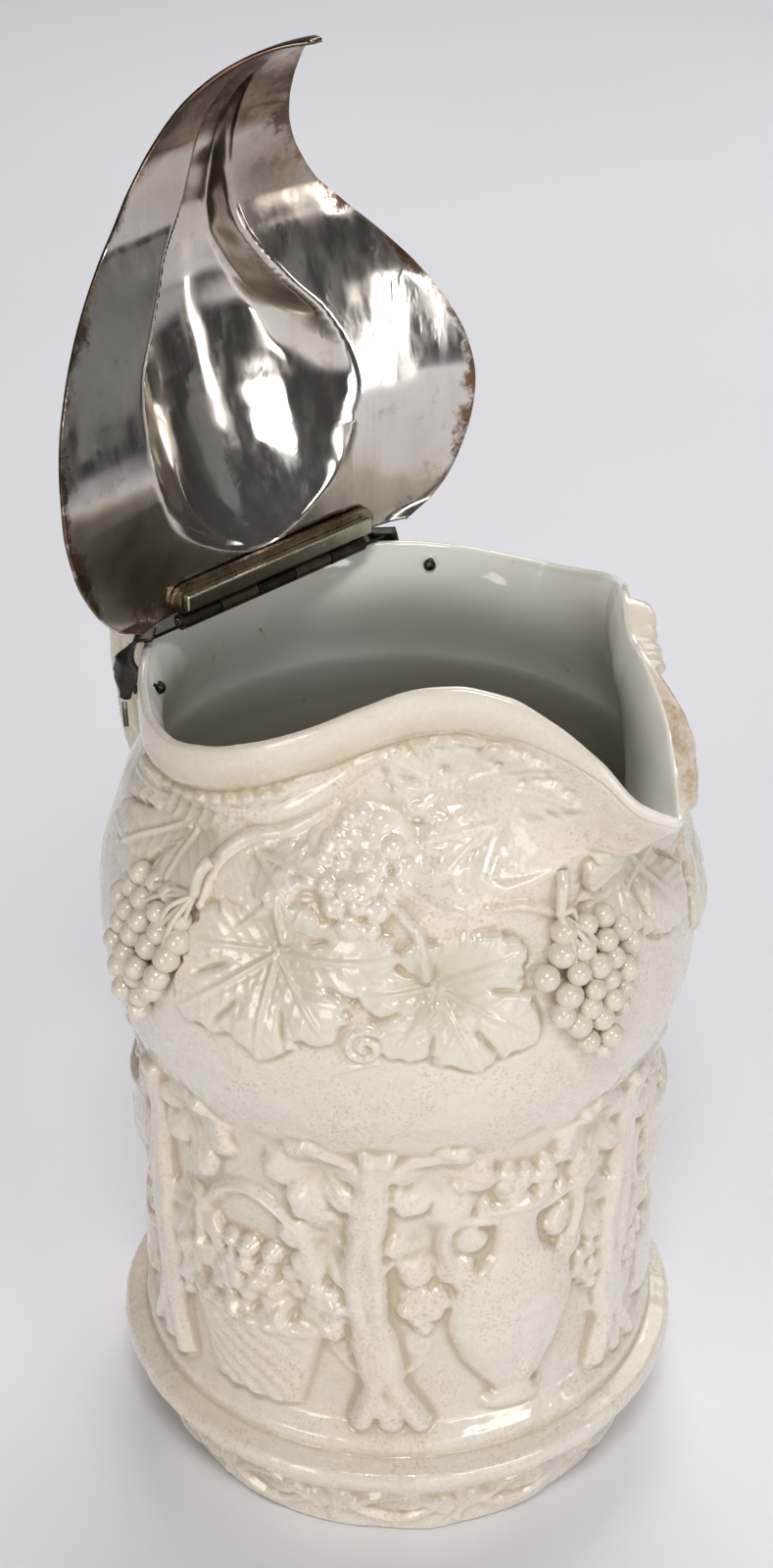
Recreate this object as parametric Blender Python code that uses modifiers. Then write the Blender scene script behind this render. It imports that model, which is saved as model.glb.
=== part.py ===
"""Lidded porcelain jug: moulded body, branch handle, grape sprigs, metal mount and hinged lid."""
import math

import bmesh
import bpy
from mathutils import Matrix, Vector

# All sizes below are in millimetres.
# The body axis is x = 0, the spout points to +X and the foot stands on z = 0.
MM = 0.001
GAP = 0.3
AXIS_SHIFT = 7.8
FOOT_BED = 48.5

# Porcelain body: radius and height down the outside, from the neck to the bed of the foot
OUTER_PROFILE = [
    (60.4, 172), (62.8, 165), (65.2, 157), (66.4, 148), (66, 138), (64.4, 128), (61.5, 120), (58.8, 113),
    (57.6, 102), (57.5, 70), (57.6, 38), (59.6, 35), (60.8, 33.2), (61, 31), (62.8, 29.4), (65.4, 28.4),
    (66.4, 26), (65.4, 23.2), (62, 21), (58.4, 19.4), (56, 6), (55, 1.2), (54, 0),
    (FOOT_BED, 0), (46.5, 4), (0, 4),
]
# Radius and height down the inside, from the neck to the middle of the floor
INNER_PROFILE = [
    (56.2, 172), (61.2, 157), (62.2, 148), (61.6, 138), (59.8, 128), (54.2, 110), (53.4, 98), (53.4, 24),
    (51.6, 14.5), (46, 9.8), (0, 9),
]
# Mouth: degrees from the spout, radius of the inner edge, height of the crest
MOUTH = [
    (0, 78, 199), (4, 73, 202.5), (8, 67, 210.8), (13, 59.5, 217.4), (20, 52.5, 222), (30, 47.5, 223.5),
    (42, 45.5, 222), (54, 46.3, 218.2), (66, 48.9, 213.4), (78, 51.9, 208.8), (90, 53.9, 204.7),
    (100, 54.9, 202.4), (110, 54.6, 201.9), (120, 53.6, 202.6), (132, 52.9, 203.2), (150, 52.9, 203.2),
    (180, 52.9, 203.2),
]
WALL = 2.6
# Collar under the crest: distance out from the inner edge of the mouth, depth below the crest
COLLAR = [
    (0, 1.4), (0.9, 0.1), (WALL - 1, 0.1), (WALL - 0.1, 1.3), (WALL + 0.3, 4.5), (WALL + 0.1, 8.4),
    (WALL - 0.8, 9.8),
]
# The collar thins out towards the tip of the spout:
# degrees from the spout, share of its depth, share of the wall
COLLAR_FADE = [(0, 0.22, 0.6), (6, 0.34, 0.7), (14, 0.7, 0.9), (24, 1, 1), (180, 1, 1)]
# Degrees either side of a place at which the direction of the mouth's edge is taken
EDGE_STEP = 0.8
# Heights of the rings between the round neck and the collar, as shares of the way up
NECK_STEPS = (0.8, 0.55, 0.3)
# The neck draws in between the shoulder and the mouth: by how much, and how high up that sits
THROAT = 3.2
THROAT_HIGH = 1.6
BODY_SIDES = 54
SPOUT_CROWDING = 0.55
HOLE_ANGLE = 128
HOLE_HEIGHT = 198.9
HOLE_RADIUS = 1.1
# Cutter for a hole: sides, length, and distance of its middle from the body axis
DRILL_SIDES = 12
DRILL_LENGTH = 16
DRILL_REACH = 54
# Pins that stand in the holes: radius, and distances from the body axis of the inner and outer ends
COLLAR_PIN_RADIUS = 0.85
COLLAR_PIN_ENDS = (49.6, 56.6)
SMOOTH_PORCELAIN = 50
SMOOTH_METAL = 30

# Relief moulded with the wall: how deep its forms reach into the wall
FORM_SINK = 1.2
# Vine leaves: degrees from the spout and height of the stalk end, rise of the tips, then the lobes, as
# heading in degrees from straight down and length
NEAR_LOBES = [(-88, 20), (-45, 31), (15, 23), (98, 25), (146, 15)]
FRONT_LOBES = [(-94, 14), (-38, 16), (18, 23), (104, 17), (142, 14)]
BACK_LOBES = [(-84, 28), (-52, 34), (-20, 25), (16, 16)]
LEAVES = [
    (-93, 187, 3.6, BACK_LOBES), (-68, 166.7, 2.6, NEAR_LOBES), (-37.4, 162.4, 2.4, FRONT_LOBES),
    (46, 162.4, 2.4, [(-heading, length) for heading, length in FRONT_LOBES[::-1]]),
    (115, 166.7, 2.6, [(-heading, length) for heading, length in NEAR_LOBES[::-1]]),
]
# A lobe is widest this many degrees to each side and this share of its length out
LOBE_SPREAD = 24
LOBE_WIDEST = 0.62
# Reach of the notches between lobes as a share of the shorter one, and of the gap that takes the stalk
LEAF_NOTCH = 0.42
LEAF_STALK = 0.2
STALK_GAP = 75
LEAF_SHARES = (0.5, 1)
# Rise at the stalk end, at the notches and at the sides of the lobes as shares of the tips' rise
STALK_RISE = 0.3
NOTCH_RISE = 0.6
SIDE_RISE = 0.85
# Frieze: vine stocks with a vessel in each bay between them
BAYS = 6
FIRST_STOCK = -168
STOCK_HEIGHTS = (38.6, 44, 57, 70, 83, 97, 114)
STOCK_HALF = 5.0
STOCK_RISE = 3.2
STOCK_SWAY = 2.4
# Vessels: height above the foot and half width
JAR = [(0, 7), (2.5, 7.5), (5, 4.4), (17, 12.6), (28, 15.2), (36, 14.2), (46, 5.8), (53, 5.2), (60, 8.8)]
BASKET = [(0, 11.5), (3, 12.2), (12, 14.6), (21, 17), (24, 18.4), (26, 18)]
HEAP = [(0, 16), (7, 15.5), (13, 11.5), (17, 6)]
CUP = [(0, 8), (2, 8.2), (4, 4), (9, 2.6), (18, 11), (27, 14.6), (40, 16.4)]
STONE = [(0, 15), (3, 14.4), (5, 12.6), (13, 12), (18, 14)]
# What stands in each bay in turn: height of the foot, outline, rise
VESSELS = [[(39.5, STONE, 2.8), (57, CUP, 4)], [(39.5, BASKET, 4), (64, HEAP, 3.8)], [(39.5, JAR, 4.2)]]
FORM_ARC = (-90, -60, -25, 25, 60, 90)

# Handle: middle line in the plane of symmetry, x and z, then the radius there
HANDLE_LINE = [
    (-51, 183, 8.2), (-66, 192, 7.2), (-80, 192.5, 6.8), (-87.5, 184, 7), (-88.5, 172, 7.2),
    (-86.5, 159, 7.2), (-83, 144, 7), (-76.5, 128.5, 7), (-67, 114, 7.4), (-54, 101, 8.4),
]

# Grape sprigs: name, degrees from the spout, height of the middle
BUNCHES = [("grape_bunch_near", -97, 156), ("grape_bunch_spout", -8, 155), ("grape_bunch_far", 81, 156)]
GRAPE_RADIUS = 2.85
GRAPE_PITCH = 6.0
GRAPE_ROW = 5.4
GRAPE_COUNTS = (2, 3, 4, 3, 2, 1)
BALL_SIDES = (6, 5)
# Core of a bunch: half sizes outward, across and up, and how far its middle stands off the wall
BUNCH_CORE = (3.6, 10, 17)
BUNCH_SEAT = 1.2
# The grapes swell outward to a dome: its height, half width and half length
BUNCH_DOME = (3.4, 12, 19)

# Hinge pin: where its axis stands, and the knuckles strung along it
PIN_X = -40.0
PIN_Z = 206.2
PIN_RADIUS = 0.9
KNUCKLE_BORE = 1.2
KNUCKLE_RADIUS = 1.9
KNUCKLE_COUNT = 5
HINGE_LENGTH = 54.0
HINGE_SIDES = 16
PIN_PROUD = 0.6

# Fixed mount: plate over the back of the mouth, and the leaf straps that grip the collar
PLATE_TOP = 204.6
PLATE_THICK = 0.9
PLATE_FRONT = -41.5
PLATE_RADIUS = 54.8
PLATE_STEPS = 24
STRAP_ANGLE = 140
# Distance from the body axis, height and half width down a strap
STRAP_LINE = [
    (52.6, 205.35, 2.6), (54.9, 205.35, 3), (56.4, 204.6, 3.4), (56.8, 200.4, 4.2), (57.5, 195.6, 3.8),
    (58.8, 191.4, 2), (59.6, 189.8, 0.8),
]
STRAP_THICK = 0.9
# Degrees back from the strap, distance from the body axis and height down a prong
PRONG_LINE = [(0, 59.9, 188.6), (1.6, 59.5, 186.6), (3.2, 59.1, 184.4)]
PRONG_RADIUS = 0.55

# Lid, drawn shut: distance forward of the pin, half width, then heights above the pin of edge and crown
LID_STATIONS = [
    (2.6, 39, -2.5, 1.3), (6, 46, -2.7, 1.4), (14, 53, -3.1, 1.7), (24, 57.4, -3, 2.3),
    (33, 58.8, -2.2, 3.1), (41, 57.8, -0.3, 4.7), (49, 55, 3.1, 7.1), (58, 49.6, 7.6, 10.5),
    (66, 43, 12.2, 14.2), (74, 35.2, 16.5, 18.1), (81, 28.6, 18.9, 20.3), (88, 24, 19.2, 20.6),
    (95, 20.4, 18, 19.6), (102, 17.6, 15.2, 17), (109, 15, 11, 12.8), (115, 12, 5.8, 7.4),
    (120, 8.2, -0.2, 1), (123.6, 4.4, -6.8, -6.2), (125.4, 1, -12.6, -12.5),
]
LID_OPEN = 88
LID_ROWS = 30
LID_COLUMNS = 18
LID_THICK = 0.9
# The lid is arched across, and flatter near the hinge
LID_ARCH = 2.2
LID_FLAT = 3.8
LID_FLAT_REACH = 30
# Pear-shaped boss pressed into the lid: distance forward, half width, depth, and its middle across the lid
PEAR_STATIONS = [
    (9, 3, 0, -2), (13, 13, 5, -2), (22, 25.5, 11, -2.2), (34, 29.2, 13.5, -2.5), (44, 29.6, 13.5, -2.5),
    (54, 26, 12.2, -3.4), (63, 19.2, 9.8, -4), (73, 12.4, 7, -3.6), (82, 7.8, 5, -1.2), (92, 5.6, 3.4, 0),
    (104, 4.6, 2, 0), (118, 3, 0, 0),
]
PEAR_ROUND = 1.0
BAR_WIDTH = 4.0
BAR_EDGE = 0.5
BAR_FORWARD = 3.6
STRIP_FORWARD = (2.3, 9.2)
STRIP_HALF = 29.5
STRIP_TOP = -0.1
STRIP_THICK = 1.0
STRIP_END_STEPS = 6


# Helpers for curves and meshes
def through(stations, t, column):
    """Smooth value of one column of a station table at t, with level slopes at turning points."""
    xs = [s[0] for s in stations]
    ys = [s[column] for s in stations]
    t = min(max(t, xs[0]), xs[-1])
    i = 0
    while i < len(xs) - 2 and t > xs[i + 1]:
        i += 1
    steps = [(ys[k + 1] - ys[k]) / (xs[k + 1] - xs[k]) for k in range(len(xs) - 1)]

    def slope(k):
        if k == 0:
            return steps[0]
        if k == len(steps):
            return steps[-1]
        if steps[k - 1] * steps[k] <= 0:
            return 0.0
        return 2 * steps[k - 1] * steps[k] / (steps[k - 1] + steps[k])

    h = xs[i + 1] - xs[i]
    u = (t - xs[i]) / h
    a = (1 + 2 * u) * (1 - u) ** 2
    b = u * (1 - u) ** 2
    c = u * u * (3 - 2 * u)
    d = u * u * (u - 1)
    return a * ys[i] + b * h * slope(i) + c * ys[i + 1] + d * h * slope(i + 1)


def polar(angle, radius, height):
    """Point at an angle in degrees from the spout."""
    a = math.radians(angle)
    return Vector((radius * math.cos(a), radius * math.sin(a), height))


def make_object(name, mesh, group, location=(0, 0, 0)):
    """New object in a collection, standing at a place given in millimetres from the body axis."""
    obj = bpy.data.objects.new(name, mesh)
    obj.location = Vector(location) * MM
    group.objects.link(obj)
    return obj


def mesh_from(name, points, faces):
    """Mesh with outward faces, from points in millimetres."""
    mesh = bpy.data.meshes.new(name)
    mesh.from_pydata([tuple(p * MM) for p in points], [], faces)
    bm = bmesh.new()
    bm.from_mesh(mesh)
    bmesh.ops.recalc_face_normals(bm, faces=bm.faces)
    bm.to_mesh(mesh)
    bm.free()
    return mesh


def baked(obj):
    """Replace an object's modifiers, or its curve, by the mesh they give."""
    bpy.context.view_layer.update()
    graph = bpy.context.evaluated_depsgraph_get()
    mesh = bpy.data.meshes.new_from_object(obj.evaluated_get(graph))
    name = obj.name
    group = obj.users_collection[0]
    place = obj.matrix_world.copy()
    bpy.data.objects.remove(obj)
    bm = bmesh.new()
    bm.from_mesh(mesh)
    bmesh.ops.remove_doubles(bm, verts=bm.verts, dist=0.00001)
    bmesh.ops.recalc_face_normals(bm, faces=bm.faces)
    bm.to_mesh(mesh)
    bm.free()
    new = bpy.data.objects.new(name, mesh)
    new.matrix_world = place
    group.objects.link(new)
    return new


def combine(obj, tool, operation):
    """Boolean of one object with another, baked into a mesh."""
    mod = obj.modifiers.new("join", "BOOLEAN")
    mod.operation = operation
    mod.solver = "EXACT"
    mod.object = tool
    return baked(obj)


def finish(obj, material, smooth_angle):
    """Give an object its material, and smooth shading up to an angle in degrees."""
    obj.data.materials.clear()
    obj.data.materials.append(material)
    for face in obj.data.polygons:
        face.use_smooth = True
    bm = bmesh.new()
    bm.from_mesh(obj.data)
    for edge in bm.edges:
        edge.smooth = edge.calc_face_angle() < math.radians(smooth_angle)
    bm.to_mesh(obj.data)
    bm.free()
    return obj


def make_material(name, colour, roughness, metallic):
    mat = bpy.data.materials.new(name)
    mat.use_nodes = True
    shader = mat.node_tree.nodes["Principled BSDF"]
    shader.inputs["Base Color"].default_value = (*colour, 1)
    shader.inputs["Roughness"].default_value = roughness
    shader.inputs["Metallic"].default_value = metallic
    return mat


# Porcelain body
def body_angles():
    """Angles round the body in degrees, closer together near the spout."""
    angles = []
    for k in range(BODY_SIDES):
        turn = 2 * math.pi * k / BODY_SIDES
        angles.append(math.degrees(turn - SPOUT_CROWDING * math.sin(turn)))
    return angles


def mouth_edge(angle):
    """Inner edge of the mouth at an angle from the spout."""
    side = abs((angle + 180) % 360 - 180)
    return polar(angle, through(MOUTH, side, 1), through(MOUTH, side, 2))


def mouth_normal(angle):
    """Level direction out of the mouth at an angle from the spout."""
    along = mouth_edge(angle + EDGE_STEP) - mouth_edge(angle - EDGE_STEP)
    return Vector((along.y, -along.x, 0)).normalized()


def collar_point(angle, out, depth):
    side = abs((angle + 180) % 360 - 180)
    drop = Vector((0, 0, depth * through(COLLAR_FADE, side, 1)))
    away = mouth_normal(angle) * out * through(COLLAR_FADE, side, 2)
    return mouth_edge(angle) + away - drop


def collar_ring(out, depth, grow=0.0):
    return [collar_point(a, out, depth) + mouth_normal(a) * grow for a in body_angles()]


def round_ring(radius, height):
    return [polar(a, radius, height) for a in body_angles()]


def throat(share):
    """How far the neck is drawn in, at a share of the way up to the collar."""
    return THROAT * math.sin(math.pi * share ** THROAT_HIGH)


def neck_rings(collar, base):
    """Rings that pass from the mouth's outline to the round neck, eased across and drawn in at the throat."""
    rings = []
    for share in NECK_STEPS:
        eased = share * share * (3 - 2 * share)
        ring = []
        for low, high in zip(base, collar):
            spot = low.lerp(high, eased)
            spot *= 1 - throat(share) / spot.xy.length
            spot.z = low.z + (high.z - low.z) * share
            ring.append(spot)
        rings.append(ring)
    return rings


def skin_faces(rings):
    """Quads between rings, with a fan wherever a ring is a single point."""
    points = []
    starts = []
    for ring in rings:
        starts.append(len(points))
        points.extend(ring)
    sides = max(len(ring) for ring in rings)
    faces = []
    for i in range(len(rings) - 1):
        upper, lower = rings[i], rings[i + 1]
        for k in range(sides):
            n = (k + 1) % sides
            a = starts[i] + (k if len(upper) > 1 else 0)
            b = starts[i] + (n if len(upper) > 1 else 0)
            c = starts[i + 1] + (n if len(lower) > 1 else 0)
            d = starts[i + 1] + (k if len(lower) > 1 else 0)
            loop = [a, b, c, d]
            faces.append([v for j, v in enumerate(loop) if v not in loop[:j]])
    return points, faces


def profile_rings(profile, grow=0.0):
    rings = []
    for radius, height in profile:
        if radius == 0:
            rings.append([Vector((0, 0, height))])
        else:
            rings.append(round_ring(radius + grow, height))
    return rings


def make_body(group, tools, material):
    inner = profile_rings(INNER_PROFILE)
    outer = profile_rings(OUTER_PROFILE)
    collar = [collar_ring(out, depth) for out, depth in COLLAR]
    inner_neck = neck_rings(collar[0], inner[0])
    outer_neck = neck_rings(collar[-1], outer[0])
    rings = inner[::-1] + inner_neck[::-1] + collar + outer_neck + outer
    points, faces = skin_faces(rings)
    body = make_object("jug_body", mesh_from("jug_body", points, faces), group)
    body = add_relief(body, tools, 0.0)
    for side in (-1, 1):
        drill = make_drill(tools, side)
        body = combine(body, drill, "DIFFERENCE")
    return finish(body, material, SMOOTH_PORCELAIN)


def make_drill(tools, side):
    """Cutter for one of the two holes drilled through the collar."""
    bm = bmesh.new()
    bmesh.ops.create_cone(bm, cap_ends=True, segments=DRILL_SIDES, radius1=HOLE_RADIUS * MM,
                          radius2=HOLE_RADIUS * MM, depth=DRILL_LENGTH * MM)
    mesh = bpy.data.meshes.new("drill")
    bm.to_mesh(mesh)
    bm.free()
    drill = make_object("drill", mesh, tools, polar(side * HOLE_ANGLE, DRILL_REACH, HOLE_HEIGHT))
    outward = polar(side * HOLE_ANGLE, 1, 0)
    drill.rotation_mode = "QUATERNION"
    drill.rotation_quaternion = outward.to_track_quat("Z", "Y")
    return drill


def make_envelope(tools):
    """Solid a little larger than the outside of the body, used to fit pieces against it."""
    wall = [(radius, height) for radius, height in OUTER_PROFILE if height > 0 and radius > FOOT_BED]
    outer = profile_rings(wall, GAP)
    collar = [collar_ring(out, depth, GAP) for out, depth in COLLAR if out > WALL / 2]
    neck = neck_rings(collar[-1], outer[0])
    top = [[Vector((0, 0, PIN_Z))]]
    foot = [[Vector((0, 0, wall[-1][1]))]]
    points, faces = skin_faces(top + collar + neck + outer + foot)
    envelope = make_object("envelope", mesh_from("envelope", points, faces), tools)
    return add_relief(envelope, tools, GAP)


def make_collar_pin(name, side, group, material):
    inner, outer = COLLAR_PIN_ENDS
    bm = bmesh.new()
    bmesh.ops.create_cone(bm, cap_ends=True, segments=DRILL_SIDES, radius1=COLLAR_PIN_RADIUS * MM,
                          radius2=COLLAR_PIN_RADIUS * MM, depth=(outer - inner) * MM)
    mesh = bpy.data.meshes.new(name)
    bm.to_mesh(mesh)
    bm.free()
    pin = make_object(name, mesh, group, polar(side * HOLE_ANGLE, (inner + outer) / 2, HOLE_HEIGHT))
    pin.rotation_mode = "QUATERNION"
    pin.rotation_quaternion = polar(side * HOLE_ANGLE, 1, 0).to_track_quat("Z", "Y")
    return finish(pin, material, SMOOTH_METAL)


# Relief on the wall
def wall_radius(height):
    """Radius of the outside of the round body at a height."""
    for (r0, z0), (r1, z1) in zip(OUTER_PROFILE, OUTER_PROFILE[1:]):
        if z1 <= height <= z0:
            return r1 + (r0 - r1) * (height - z1) / max(z0 - z1, 0.001)
    return OUTER_PROFILE[0][0]


def wall_reach(angle, height):
    """Distance of the outside wall from the body axis, on the round body or on the neck above it."""
    base, neck = OUTER_PROFILE[0]
    if height <= neck:
        return wall_radius(height)
    rim = collar_point(angle, *COLLAR[-1])
    share = min(1.0, (height - neck) / (rim.z - neck))
    eased = share * share * (3 - 2 * share)
    return base + (rim.xy.length - base) * eased - throat(share)


def on_wall(angle, height, across, up, out):
    """Point a distance across and up from a place on the wall, and out from its surface."""
    turn = angle + math.degrees(across / wall_reach(angle, height + up))
    return polar(turn, wall_reach(turn, height + up) + out, height + up)


def leaf_rings(angle, height, rise, lobes, grow):
    """Vine leaf that rises from its stalk to the tips of its lobes."""
    outline = []
    for k, (heading, length) in enumerate(lobes):
        before = (heading - lobes[k - 1][0]) % 360
        after_heading, after_length = lobes[(k + 1) % len(lobes)]
        after = (after_heading - heading) % 360
        notch = LEAF_NOTCH if after < STALK_GAP else LEAF_STALK
        side = LOBE_WIDEST * length
        outline.append((heading - min(LOBE_SPREAD, 0.42 * before), side, SIDE_RISE))
        outline.append((heading, length, 1))
        outline.append((heading + min(LOBE_SPREAD, 0.42 * after), side, SIDE_RISE))
        outline.append((heading + after / 2, notch * min(length, after_length), NOTCH_RISE))

    def ring(share, sunk):
        spots = []
        for heading, length, top in outline:
            a = math.radians(heading)
            reach = share * (length + grow)
            out = -FORM_SINK if sunk else rise * (STALK_RISE + (top - STALK_RISE) * share) + grow
            spots.append(on_wall(angle, height, reach * math.sin(a), -reach * math.cos(a), out))
        return spots

    front = [ring(share, False) for share in LEAF_SHARES]
    back = [ring(share, True) for share in LEAF_SHARES[::-1]]
    top = [on_wall(angle, height, 0, 0, rise * STALK_RISE + grow)]
    bottom = [on_wall(angle, height, 0, 0, -FORM_SINK)]
    return [top] + front + back + [bottom]


def half_round_rings(angle, height, stations, grow):
    """Half-round form on the wall, along stations of place across, place up, half width and rise."""
    rings = []
    for across, up, half, rise in stations:
        ring = []
        for degrees in FORM_ARC:
            a = math.radians(degrees)
            aside = across + (half + grow) * math.sin(a)
            ring.append(on_wall(angle, height, aside, up, rise * math.cos(a) + grow))
        for side in (0.9, 0, -0.9):
            ring.append(on_wall(angle, height, across + side * half, up, -FORM_SINK))
        rings.append(ring)
    ends = []
    for (across, up, _, _), way in ((stations[0], -1), (stations[-1], 1)):
        ends.append([on_wall(angle, height, across, up + way * grow, 0)])
    return ends[:1] + rings + ends[1:]


def stock_rings(number, grow):
    """Vine stock that sways and thins as it goes up."""
    angle = FIRST_STOCK + number * 360 / BAYS
    low, high = STOCK_HEIGHTS[0], STOCK_HEIGHTS[-1]
    stations = []
    for height in STOCK_HEIGHTS:
        share = (height - low) / (high - low)
        sway = STOCK_SWAY * math.sin(5 * share + number) + 2 * share * math.sin(2.3 * number)
        half = STOCK_HALF * (1.2 - 0.45 * share)
        stations.append((sway, height - low, half, STOCK_RISE * (1.1 - 0.3 * share)))
    return half_round_rings(angle, low, stations, grow)


def vessel_rings(angle, foot, outline, rise, grow):
    """Vessel in half relief."""
    widest = max(half for _, half in outline)
    stations = [(0, level, half, rise * (0.35 + 0.65 * half / widest)) for level, half in outline]
    return half_round_rings(angle, foot, stations, grow)


def add_relief(wall, tools, grow):
    """Join the leaves, stocks and vessels to a wall."""
    forms = [leaf_rings(*leaf, grow) for leaf in LEAVES]
    for bay in range(BAYS):
        forms.append(stock_rings(bay, grow))
        for foot, outline, rise in VESSELS[bay % len(VESSELS)]:
            forms.append(vessel_rings(FIRST_STOCK + (bay + 0.5) * 360 / BAYS, foot, outline, rise, grow))
    for rings in forms:
        points, faces = skin_faces(rings)
        form = make_object("form", mesh_from("form", points, faces), tools)
        wall = combine(wall, form, "UNION")
        bpy.data.objects.remove(form)
    return wall


# Handle
def make_handle(group, envelope, material):
    curve = bpy.data.curves.new("handle", "CURVE")
    curve.dimensions = "3D"
    curve.bevel_depth = MM
    curve.bevel_resolution = 2
    curve.resolution_u = 3
    curve.use_fill_caps = True
    spline = curve.splines.new("BEZIER")
    spline.bezier_points.add(len(HANDLE_LINE) - 1)
    for point, (x, z, radius) in zip(spline.bezier_points, HANDLE_LINE):
        point.co = Vector((x, 0, z)) * MM
        point.radius = radius
        point.handle_left_type = "AUTO"
        point.handle_right_type = "AUTO"
    handle = baked(make_object("handle", curve, group))
    handle = combine(handle, envelope, "DIFFERENCE")
    return finish(handle, material, SMOOTH_PORCELAIN)


# Grape sprigs
def add_ball(name, group, centre, radii, turn):
    bm = bmesh.new()
    bmesh.ops.create_uvsphere(bm, u_segments=BALL_SIDES[0], v_segments=BALL_SIDES[1], radius=1)
    for v in bm.verts:
        v.co = turn @ Vector((v.co.x * radii[0], v.co.y * radii[1], v.co.z * radii[2])) * MM
    mesh = bpy.data.meshes.new(name)
    bm.to_mesh(mesh)
    bm.free()
    return make_object(name, mesh, group, centre)


def make_bunch(name, angle, height, group, tools, envelope, material):
    """Bunch of grapes on a solid core, trimmed to lie against the wall."""
    seat = wall_radius(height) + BUNCH_SEAT
    rise, half_across, half_up = BUNCH_DOME
    turn = Matrix.Rotation(math.radians(angle), 3, "Z")
    bunch = add_ball(name, group, polar(angle, seat, height), BUNCH_CORE, turn)
    rows = len(GRAPE_COUNTS)
    for row, count in enumerate(GRAPE_COUNTS):
        up = ((rows - 1) / 2 - row) * GRAPE_ROW
        for k in range(count):
            across = (k - (count - 1) / 2) * GRAPE_PITCH
            belly = rise * math.sqrt(max(0.0, 1 - (across / half_across) ** 2 - (up / half_up) ** 2))
            spot = polar(angle, seat + belly, height + up) + turn @ Vector((0, across, 0))
            grape = add_ball("grape", tools, spot, (GRAPE_RADIUS,) * 3, turn)
            bunch = combine(bunch, grape, "UNION")
            bpy.data.objects.remove(grape)
    bunch = combine(bunch, envelope, "DIFFERENCE")
    return finish(bunch, material, SMOOTH_PORCELAIN)


# Fixed mount
def flat_plate(name, outline, low, high, group):
    """Flat plate with a given outline, between two heights above its own origin."""
    curve = bpy.data.curves.new(name, "CURVE")
    curve.dimensions = "2D"
    curve.fill_mode = "BOTH"
    curve.extrude = (high - low) / 2 * MM
    spline = curve.splines.new("POLY")
    spline.points.add(len(outline) - 1)
    for point, (x, y) in zip(spline.points, outline):
        point.co = (x * MM, y * MM, 0, 1)
    spline.use_cyclic_u = True
    plate = baked(make_object(name, curve, group))
    plate.data.transform(Matrix.Translation((0, 0, (low + high) / 2 * MM)))
    return plate


def make_plate(group, material):
    reach = math.degrees(math.acos(-PLATE_FRONT / PLATE_RADIUS))
    outline = []
    for k in range(PLATE_STEPS + 1):
        spot = polar(180 - reach + 2 * reach * k / PLATE_STEPS, PLATE_RADIUS, 0)
        outline.append((spot.x, spot.y))
    plate = flat_plate("mount_plate", outline, PLATE_TOP - PLATE_THICK, PLATE_TOP, group)
    return finish(plate, material, SMOOTH_METAL)


def make_strap(name, side, group, material):
    """Leaf-shaped strap bent over the collar."""
    outward = polar(side * STRAP_ANGLE, 1, 0)
    across = Vector((-outward.y, outward.x, 0))
    points = []
    faces = []
    for i, (reach, height, half) in enumerate(STRAP_LINE):
        middle = outward * reach + Vector((0, 0, height))
        points += [middle - across * half, middle, middle + across * half]
        if i:
            a = 3 * i
            faces += [[a - 3, a - 2, a + 1, a], [a - 2, a - 1, a + 2, a + 1]]
    strap = make_object(name, mesh_from(name, points, faces), group)
    sheet = strap.modifiers.new("sheet", "SOLIDIFY")
    sheet.thickness = STRAP_THICK * MM
    sheet.offset = 0
    return finish(baked(strap), material, SMOOTH_METAL)


def make_prong(name, side, group, material):
    curve = bpy.data.curves.new(name, "CURVE")
    curve.dimensions = "3D"
    curve.bevel_depth = PRONG_RADIUS * MM
    curve.bevel_resolution = 1
    curve.use_fill_caps = True
    spline = curve.splines.new("POLY")
    spline.points.add(len(PRONG_LINE) - 1)
    for point, (back, reach, height) in zip(spline.points, PRONG_LINE):
        point.co = (*(polar(side * (STRAP_ANGLE - back), reach, height) * MM), 1)
    return finish(baked(make_object(name, curve, group)), material, SMOOTH_METAL)


# Hinge
def round_bar(name, radius, start, end, group):
    """Round bar along the hinge, between two places on it."""
    bm = bmesh.new()
    bmesh.ops.create_cone(bm, cap_ends=True, segments=HINGE_SIDES, radius1=radius * MM,
                          radius2=radius * MM, depth=(end - start) * MM)
    lay = Matrix.Rotation(math.radians(90), 3, "X")
    bmesh.ops.rotate(bm, verts=bm.verts, cent=(0, 0, 0), matrix=lay)
    bmesh.ops.translate(bm, verts=bm.verts, vec=(0, (start + end) / 2 * MM, 0))
    mesh = bpy.data.meshes.new(name)
    bm.to_mesh(mesh)
    bm.free()
    return make_object(name, mesh, group, (PIN_X, 0, PIN_Z))


def make_knuckles(group, tools, mount_metal, lid_metal):
    """Knuckles along the pin: the odd ones belong to the mount, the even ones to the lid."""
    pitch = HINGE_LENGTH / KNUCKLE_COUNT
    reamer = round_bar("reamer", KNUCKLE_BORE, -HINGE_LENGTH, HINGE_LENGTH, tools)
    for k in range(KNUCKLE_COUNT):
        fixed = k % 2 == 0
        name = ("mount_knuckle_%d" if fixed else "lid_knuckle_%d") % (k // 2 + 1)
        start = -HINGE_LENGTH / 2 + k * pitch + GAP / 2
        knuckle = round_bar(name, KNUCKLE_RADIUS, start, start + pitch - GAP, group)
        knuckle = combine(knuckle, reamer, "DIFFERENCE")
        finish(knuckle, mount_metal if fixed else lid_metal, SMOOTH_METAL)


def make_pin(group, material):
    half = HINGE_LENGTH / 2 + PIN_PROUD
    return finish(round_bar("hinge_pin", PIN_RADIUS, -half, half, group), material, SMOOTH_METAL)


# Lid, modelled shut in its own frame: X forward of the pin, Z up; then hung on the pin and turned open
def hang_open(obj):
    obj.location = Vector((PIN_X, 0, PIN_Z)) * MM
    obj.rotation_euler = (0, -math.radians(LID_OPEN), 0)


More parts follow.
